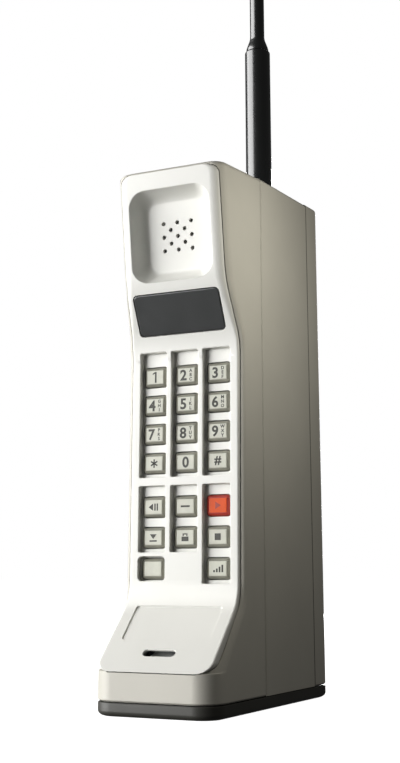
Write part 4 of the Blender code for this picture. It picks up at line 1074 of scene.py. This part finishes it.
class BRICK_OT_keys(bpy.types.Operator):
    """Build the twenty keys, each with a pale face, a sloping border painted darker as shade, and its
    printing
    """
    bl_idname = "brick_phone.keys"
    bl_label = "Keys"

    def execute(self, context):
        tint = colours()
        # The grey and deep red border finishes are darkened copies of the key colours: painted shade on the
        # sloping borders.
        plain = (finish("key_border_painted_shade", tint.key_border, 0.5, grain=0.2, spread=0.12, spread_size=4.0),
                 finish("key_pale", tint.key_face, 0.45, grain=0.2, spread=0.06, spread_size=4.0))
        red = (finish("send_border_painted_shade", tint.send_border, 0.45, grain=0.2, spread=0.1, spread_size=4.0),
               finish(
                   "send_red", tint.send_face, 0.5, grain=0.2, spread=0.06, spread_size=4.0, specular=0.15))
        ink = finish("legend_ink", tint.legend, 0.6, spread=0.2, spread_size=2.0)
        red_ink = finish(
            "legend_red_ink", shade(tint.send_border, 0.75)[:3], 0.6, spread=0.2, spread_size=2.0)
        for name in KEYS:
            key_slot = "red_plastic" if name == "key_send" else "key_plastic"
            key = self.cap(name)
            for material in (red if name == "key_send" else plain):
                key.data.materials.append(material)
            dress(smooth(key, 25), name, key_slot, name)
            for piece in self.printing(name, red_ink if name == "key_send" else ink):
                dress(piece, name, key_slot)
        return {"FINISHED"}

    def cap(self, name):
        x, y = key_place(name)
        chamfer = sizes().key_chamfer / MM
        face = KEY_PROUD - CHANNEL_DEPTH
        flange_top = -PLATE_THICKNESS - GAP
        levels = [
            (flange_top - KEY_FLANGE_THICKNESS, KEY_FLANGE), (flange_top, KEY_FLANGE),
            (flange_top, 0.0)]
        levels += [(face + up, out) for up, out in KEY_SIDE_LEVELS]
        levels += [(face + up, -chamfer + out) for up, out in KEY_FACE_LEVELS]
        rings = slab(
            span(KEY_WIDTH / 2, x), span(KEY_HEIGHT / 2, y), sizes().key_corner / MM, levels,
            KEYPAD, 5)
        # Levels below KEY_BORDER_BANDS take the darker border finish, a painted shade.
        finishes = [0 if level < KEY_BORDER_BANDS else 1 for level in range(len(levels) - 1)]
        return loft(name + "_cap", rings, finishes)

    def printing(self, name, ink):
        x, y = key_place(name)
        face = KEY_PROUD - CHANNEL_DEPTH
        top = sizes().print_height / MM
        if name not in FIGURES or name in ("key_1", "key_star"):
            outlines = pictogram(name)
            if outlines:
                yield print_from(name + "_sign", outlines, (x, y, face), ink)
            return
        letters = LETTERS.get(name, "")
        height = sizes().figure / MM
        if name == "key_hash":
            height *= HASH_SCALE
        marks = [(FIGURES[name], height, FIGURE_SHIFT if letters else 0.0, 0.0)]
        small = sizes().letter / MM
        marks += [(letter, small, LETTER_SHIFT, (1 - place) * small * LETTER_PITCH)
                  for place, letter in enumerate(letters)]
        for number, (mark, size, along, up) in enumerate(marks):
            suffix = "_figure" if number == 0 else f"_letter_{number}"
            obj = add_object(name + suffix, text_mesh(mark, size, top))
            yield set_print(obj, (x + along, y + up, face), ink)


# Aerial


def turned(name, profile, turn, sides=48):
    """A closed body turned about the local Z from (radius, height) points."""
    work = bmesh.new()
    loops = []
    for radius, height in profile:
        if radius == 0:
            loops.append([work.verts.new(turn @ Vector((0, 0, height)))])
        else:
            loops.append([work.verts.new(turn @ Vector((x, y, height)))
                          for x, y in arc(0, 0, radius, radius, 0, 360, sides)[:-1]])
    pairs = list(zip(loops, loops[1:]))
    if profile[0][0] > 0:
        pairs.append((loops[-1], loops[0]))
    for one, other in pairs:
        for index in range(sides):
            after = (index + 1) % sides
            corners = [one[index % len(one)], one[after % len(one)],
                       other[after % len(other)], other[index % len(other)]]
            work.faces.new(list(dict.fromkeys(corners)))
    return mesh_object(name, work)


class BRICK_OT_aerial(bpy.types.Operator):
    """Build the aerial: its thick sleeve, and the whip and stud that run through it"""
    bl_idname = "brick_phone.aerial"
    bl_label = "Aerial"

    def execute(self, context):
        low, high = node_box("aerial_sleeve")
        whip_low, whip_high = node_box("aerial_whip")
        middle = (low + high) / 2
        foot = low.z
        radius = (high.x - low.x) / 2
        turn = Matrix.Translation((middle.x, middle.y, foot))
        length = high.z - foot
        lower, upper = SLEEVE_FOOT_EDGE, SLEEVE_HEAD_EDGE
        profile = [(BORE, length)]
        profile += [(radius - inset, length - down)
                    for down, inset in rounding(upper, SLEEVE_HEAD_STEPS)]
        profile += [
            (radius, lower), (radius - lower * LIP_START, lower * LIP_START),
            (radius - lower, 0.0), (BORE, 0.0)]
        black = finish(
            "aerial_black", colours().aerial, 0.28, spread=0.2, coat=0.8, scratches=0.1, specular=0.8)
        sleeve = turned("aerial_sleeve_moulding", profile, turn)
        complete(sleeve, black, "aerial", "black_gloss", "aerial_sleeve")

        tip = whip_high.z - foot
        stud = foot - whip_low.z
        shoulder = length + GAP
        profile = [(out, tip - down) for out, down in WHIP_TIP]
        for step in range(TAPER_STEPS + 1):
            t = step / TAPER_STEPS
            eased = t * t * (3 - 2 * t)
            profile.append((
                WHIP_RADIUS + (radius - upper - WHIP_RADIUS) * eased, shoulder + TAPER * (1 - t)))
        profile += [
            (CORE, shoulder), (CORE, -GAP), (STUD_RADIUS, -GAP - lower), (STUD_RADIUS, -stud),
            (0, -stud)]
        whip = turned("aerial_whip_moulding", profile, turn)
        complete(whip, black, "aerial", "black_gloss", "aerial_whip")
        return {"FINISHED"}


# Battery pack


BACK = Matrix(((-1, 0, 0, 0), (0, 0, 1, REAR_Y), (0, 1, 0, 0), (0, 0, 0, 1)))


class BRICK_OT_pack(bpy.types.Operator):
    """Build the battery pack's case and its ribbed thumb catch"""
    bl_idname = "brick_phone.pack"
    bl_label = "Battery Pack"

    def execute(self, context):
        self.case()
        self.catch()
        return {"FINISHED"}

    def ring(self, z, inset=0.0, rise=0.0, foot=0.0):
        edge = sizes().seam_edge / MM
        half = HALF_WIDTH - inset - foot
        return section(half, half, PACK_FRONT, REAR_Y - inset - foot, edge, edge, REAR_CORNER, z, rise)

    def case(self):
        edge = sizes().seam_edge / MM
        rings = [self.ring(BASE_HEIGHT, foot=edge), self.ring(BASE_HEIGHT + edge)]
        rings += [self.ring(EAR_TOP_Z - down, inset, TOP_RISE)
                  for inset, down in rounding(REAR_SHOULDER, REAR_SHOULDER_STEPS)]
        case = loft("battery_case_moulding", rings)
        half = HALF_WIDTH - PACK_WALL
        corner = REAR_CORNER - PACK_WALL
        hollow = [
            section(half, half, PACK_FRONT - FAR, REAR_Y - PACK_WALL, 0.4, 0.4, corner, z, rise)
            for z, rise in ((BASE_HEIGHT + PACK_WALL, 0.0), (EAR_TOP_Z - PACK_WALL, TOP_RISE))]
        cut(case, loft("hollow", hollow))
        half = CATCH_WIDTH / 2 + GAP
        pad_top = CATCH_HIGH.z - CATCH_FLANGE
        pad_low = pad_top - CATCH_HEIGHT
        cut(case, loft("opening", opening(
            span(half), (pad_low - CATCH_TRAVEL - GAP, pad_top + GAP), WINDOW_CORNER, -FAR / 2,
            BACK, 0.0, WINDOW_LIP)))
        cut(case, loft("label", recess(
            span(PACK_LABEL_HALF), PACK_LABEL_Z, PACK_LABEL_CORNER, -PACK_LABEL_DEPTH, BACK,
            SMALL_LIP)))
        join(case, loft("spring_shelf", slab(
            span(SPRING_HALF), (SPRING_LOW - GAP - SPRING_SEAT, SPRING_LOW - GAP), 0.2,
            ((-PACK_WALL - SHELF_REACH, 0.0), (-PACK_WALL / 2, 0.0)), BACK)))
        case.data.materials.append(shell_finish("pack_taupe"))
        # Painted shade along the seam at the pack's front.
        grime_seam(case, PACK_FRONT, "pack_seam_painted_shade")
        dress(smooth(case), "battery", "taupe_plastic", "battery_case")

    def catch(self):
        flange_back = -PACK_WALL - GAP
        flange_front = flange_back - CATCH_FLANGE_THICKNESS
        pad_top = CATCH_HIGH.z - CATCH_FLANGE
        pad_low = pad_top - CATCH_HEIGHT
        half = CATCH_WIDTH / 2
        out = CATCH_HIGH.y - REAR_Y
        pad = loft("thumb_catch", slab(span(half), (pad_low, pad_top), 0.5, (
            (flange_front + FLUSH, 0.0), (out - 0.3, 0.0), (out - 0.1, -0.1), (out, -0.3)), BACK))
        cut(pad, several("grooves", [
            slab(span(half - GROOVE_MARGIN), span(GROOVE_HALF, z),
                 GROOVE_HALF, ((out - 0.35, -0.12), (out - 0.15, 0.0), (out + 1, 0.3)), BACK)
            for z in [pad_low + CATCH_HEIGHT * part / (GROOVES + 1)
                      for part in range(1, GROOVES + 1)]]))
        wide = half + CATCH_FLANGE
        low = CATCH_LOW.z
        bite = flange_back - CATCH_FLANGE_THICKNESS / 2
        join(pad, loft("flange", slab(
            span(wide), (low, CATCH_HIGH.z), 0.4, ((flange_front, 0.0), (flange_back, 0.0)), BACK)))
        join(pad, loft("tooth", slab(
            span(CATCH_TOOTH_WIDTH / 2), (CATCH_HIGH.z - CATCH_TOOTH_HEIGHT, CATCH_HIGH.z - FLUSH),
            0.2, ((CATCH_LOW.y - REAR_Y, 0.0), (bite, 0.0)), BACK)))
        join(pad, loft("seat", slab(
            span(SPRING_HALF), (low + FLUSH, low + SPRING_SEAT), 0.2,
            ((flange_front - SEAT_REACH, 0.0), (bite, 0.0)), BACK)))
        complete(pad, shell_finish("catch_taupe"), "catch", "taupe_plastic", "battery_catch")


class BRICK_OT_catch_spring(bpy.types.Operator):
    """Build the coil spring under the thumb catch"""
    bl_idname = "brick_phone.catch_spring"
    bl_label = "Catch Spring"

    def execute(self, context):
        low, high = node_box("catch_spring")
        middle = (low + high) / 2
        radius = (high.x - low.x) / 2 - SPRING_WIRE
        steps = SPRING_TURNS * SPRING_STEPS
        rise = (high.z - low.z - 2 * SPRING_WIRE) / steps
        rings = []
        for step in range(steps + 1):
            angle = 2 * math.pi * step / SPRING_STEPS
            out = Vector((math.cos(angle), math.sin(angle), 0))
            slope = rise * SPRING_STEPS / (2 * math.pi * radius)
            along = Vector((-math.sin(angle), math.cos(angle), slope))
            up = along.normalized().cross(out).normalized()
            centre = Vector((middle.x, middle.y, low.z + SPRING_WIRE + rise * step)) + out * radius
            rings.append([centre + out * a + up * b for a, b in arc(
                0, 0, SPRING_WIRE, SPRING_WIRE, 0, 360, SPRING_WIRE_SIDES)[:-1]])
        coil = loft("catch_coil", rings)
        coil.data.materials.append(finish(
            "spring_steel", (0.60, 0.60, 0.58), 0.3, grain=0.3, metal=1.0, stretch=(1.0, 1.0, 8.0)))
        dress(smooth(coil, 50), "battery", "steel", "catch_spring")
        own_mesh(coil)
        return {"FINISHED"}


# Carried-over pieces


class BRICK_OT_inside(bpy.types.Operator):
    """Give the shells and the parts inside them their finishes"""
    bl_idname = "brick_phone.inside"
    bl_label = "Inner Finishes"

    def execute(self, context):
        steel = (0.60, 0.60, 0.58)
        drawn = {"grain": 0.3, "metal": 1.0, "stretch": (1.0, 1.0, 8.0)}
        makers = {
            "taupe_plastic": lambda: shell_finish("mid_shell_taupe"),
            "black_rubber": lambda: finish(
                "rubber_black", (0.03, 0.03, 0.03), 0.75, grain=0.5, spread=0.2),
            "board_green": lambda: board_finish("solder_resist", (0.02, 0.16, 0.06)),
            "steel": lambda: finish("plated_steel", steel, 0.32, **drawn),
            "brass": lambda: finish("turned_brass", (0.72, 0.52, 0.22), 0.3, **drawn),
            "aluminium": lambda: finish(
                "milled_aluminium", (0.70, 0.71, 0.72), 0.34, grain=0.3, metal=1.0,
                stretch=(6.0, 1.0, 1.0)),
            "cell_wrap": lambda: finish(
                "cell_blue_wrap", (0.07, 0.19, 0.34), 0.4, coat=0.3, scratches=0.2),
            "led_red": lambda: finish("display_dark_red", (0.24, 0.015, 0.015), 0.25, coat=0.4),
        }
        made = {}
        shown = {subpart["node"]: subpart["material_slot"] for subpart in frame["record"]["subparts"]}
        for node, slot_name in shown.items():
            obj = frame["nodes"][node]
            if obj.hide_render:
                continue
            if slot_name not in made:
                made[slot_name] = makers[slot_name]()
            for slot in obj.material_slots:
                slot.material = made[slot_name]
        return {"FINISHED"}


# Stage


def aim(obj, place, target):
    """Put a light in its place and turn it to its target."""
    obj.location = place
    obj.rotation_euler = (Vector(target) - Vector(place)).to_track_quat("-Z", "Y").to_euler()


def softbox(name, place, target, width, height, power, tint):
    """A rectangular light that faces its target."""
    light = bpy.data.lights.new(name, "AREA")
    light.shape = "RECTANGLE"
    light.size = width
    light.size_y = height
    light.energy = power
    light.color = tint
    obj = add_object(name, light)
    aim(obj, place, target)
    return obj


class BRICK_OT_stage(bpy.types.Operator):
    """Set up the pale floor, the soft lights and the camera"""
    bl_idname = "brick_phone.stage"
    bl_label = "Stage"

    def execute(self, context):
        self.floor()
        self.surroundings(context.scene)
        softbox("key_light", *KEY_LIGHT)
        softbox("side_light", *SIDE_LIGHT).visible_glossy = False
        softbox("back_light", *BACK_LIGHT)
        softbox("aerial_panel", *AERIAL_PANEL).visible_diffuse = False
        self.camera(context.scene)
        return {"FINISHED"}

    def floor(self):
        work = bmesh.new()
        corners = [work.verts.new((x * FLOOR_HALF, y * FLOOR_HALF, 0))
                   for x, y in ((-1, -1), (1, -1), (1, 1), (-1, 1))]
        work.faces.new(corners)
        mesh = bpy.data.meshes.new("floor")
        work.to_mesh(mesh)
        work.free()
        floor = add_object("floor", mesh)
        material = bpy.data.materials.new("floor_white")
        material.use_nodes = True
        tree = material.node_tree
        feed(tree, tree.nodes["Principled BSDF"], {
            "Base Color": (0.5, 0.5, 0.5, 1), "Roughness": 0.9, "Specular IOR Level": 0.0,
            "Emission Color": (1, 1, 1, 1), "Emission Strength": 1.0})
        floor.data.materials.append(material)
        floor.visible_diffuse = False
        floor.visible_glossy = False

    def surroundings(self, scene):
        """White behind the phone, and a dimmer light from all round."""
        scene.view_settings.view_transform = "Standard"
        world = bpy.data.worlds.new("studio")
        scene.world = world
        world.use_nodes = True
        tree = world.node_tree
        around = feed(tree, tree.nodes["Background"], {
            "Color": (1, 1, 1, 1), "Strength": AROUND_STRENGTH})
        behind = add_node(
            tree, "ShaderNodeBackground", {"Color": (1, 1, 1, 1), "Strength": 1.0})
        path = add_node(tree, "ShaderNodeLightPath", {})
        mix = add_node(tree, "ShaderNodeMixShader", {
            "Fac": path.outputs["Is Camera Ray"], 1: around.outputs["Background"],
            2: behind.outputs["Background"]})
        tree.links.new(mix.outputs["Shader"], tree.nodes["World Output"].inputs["Surface"])

    def camera(self, scene):
        yaw, pitch, roll = (math.radians(angle) for angle in CAMERA_YAW_PITCH_ROLL)
        ahead = Vector((
            -math.sin(yaw) * math.cos(pitch), math.cos(yaw) * math.cos(pitch), math.sin(pitch)))
        right = Vector((math.cos(yaw), math.sin(yaw), 0))
        turn = Matrix((right, -right.cross(ahead), ahead))
        tilt = Matrix((
            (math.cos(roll), -math.sin(roll), 0), (math.sin(roll), math.cos(roll), 0), (0, 0, 1)))
        turn = tilt @ turn
        place = Matrix((turn[0], -turn[1], -turn[2])).transposed().to_4x4()
        place.translation = Vector(CAMERA_PLACE)
        data = bpy.data.cameras.new("camera")
        data.lens = CAMERA_LENS
        data.sensor_width = CAMERA_SENSOR
        data.shift_y = CAMERA_SHIFT
        camera = add_object("camera", data)
        camera.matrix_world = place
        scene.camera = camera


STEPS = (
    BRICK_OT_front_shell, BRICK_OT_base, BRICK_OT_faceplate, BRICK_OT_lens, BRICK_OT_keys,
    BRICK_OT_aerial, BRICK_OT_pack, BRICK_OT_catch_spring, BRICK_OT_inside, BRICK_OT_stage)


class BRICK_PT_sidebar(bpy.types.Panel):
    """Sidebar panel that lists the pieces in the order they are built"""
    bl_idname = "BRICK_PT_sidebar"
    bl_label = "Brick Phone"
    bl_space_type = "VIEW_3D"
    bl_region_type = "UI"
    bl_category = "Brick Phone"

    def draw(self, context):
        column = self.layout.column()
        for step in STEPS:
            column.operator(step.bl_idname)
        for group in (context.scene.phone_colours, context.scene.phone_sizes):
            for name in group.__annotations__:
                column.prop(group, name)


CLASSES = (PhoneColours, PhoneSizes) + STEPS + (BRICK_PT_sidebar,)


def register():
    """Register the classes and their properties."""
    for item in CLASSES:
        bpy.utils.register_class(item)
    bpy.types.Scene.phone_colours = PointerProperty(type=PhoneColours)
    bpy.types.Scene.phone_sizes = PointerProperty(type=PhoneSizes)


def unregister():
    """Take the properties and the classes away again."""
    del bpy.types.Scene.phone_sizes
    del bpy.types.Scene.phone_colours
    for item in reversed(CLASSES):
        bpy.utils.unregister_class(item)


def main():
    """Build every piece and the stage."""
    register()
    bpy.ops.brick_phone.front_shell()
    bpy.ops.brick_phone.base()
    bpy.ops.brick_phone.faceplate()
    bpy.ops.brick_phone.lens()
    bpy.ops.brick_phone.keys()
    bpy.ops.brick_phone.aerial()
    bpy.ops.brick_phone.pack()
    bpy.ops.brick_phone.catch_spring()
    bpy.ops.brick_phone.inside()
    bpy.ops.brick_phone.stage()


if __name__ == "__main__":
    main()
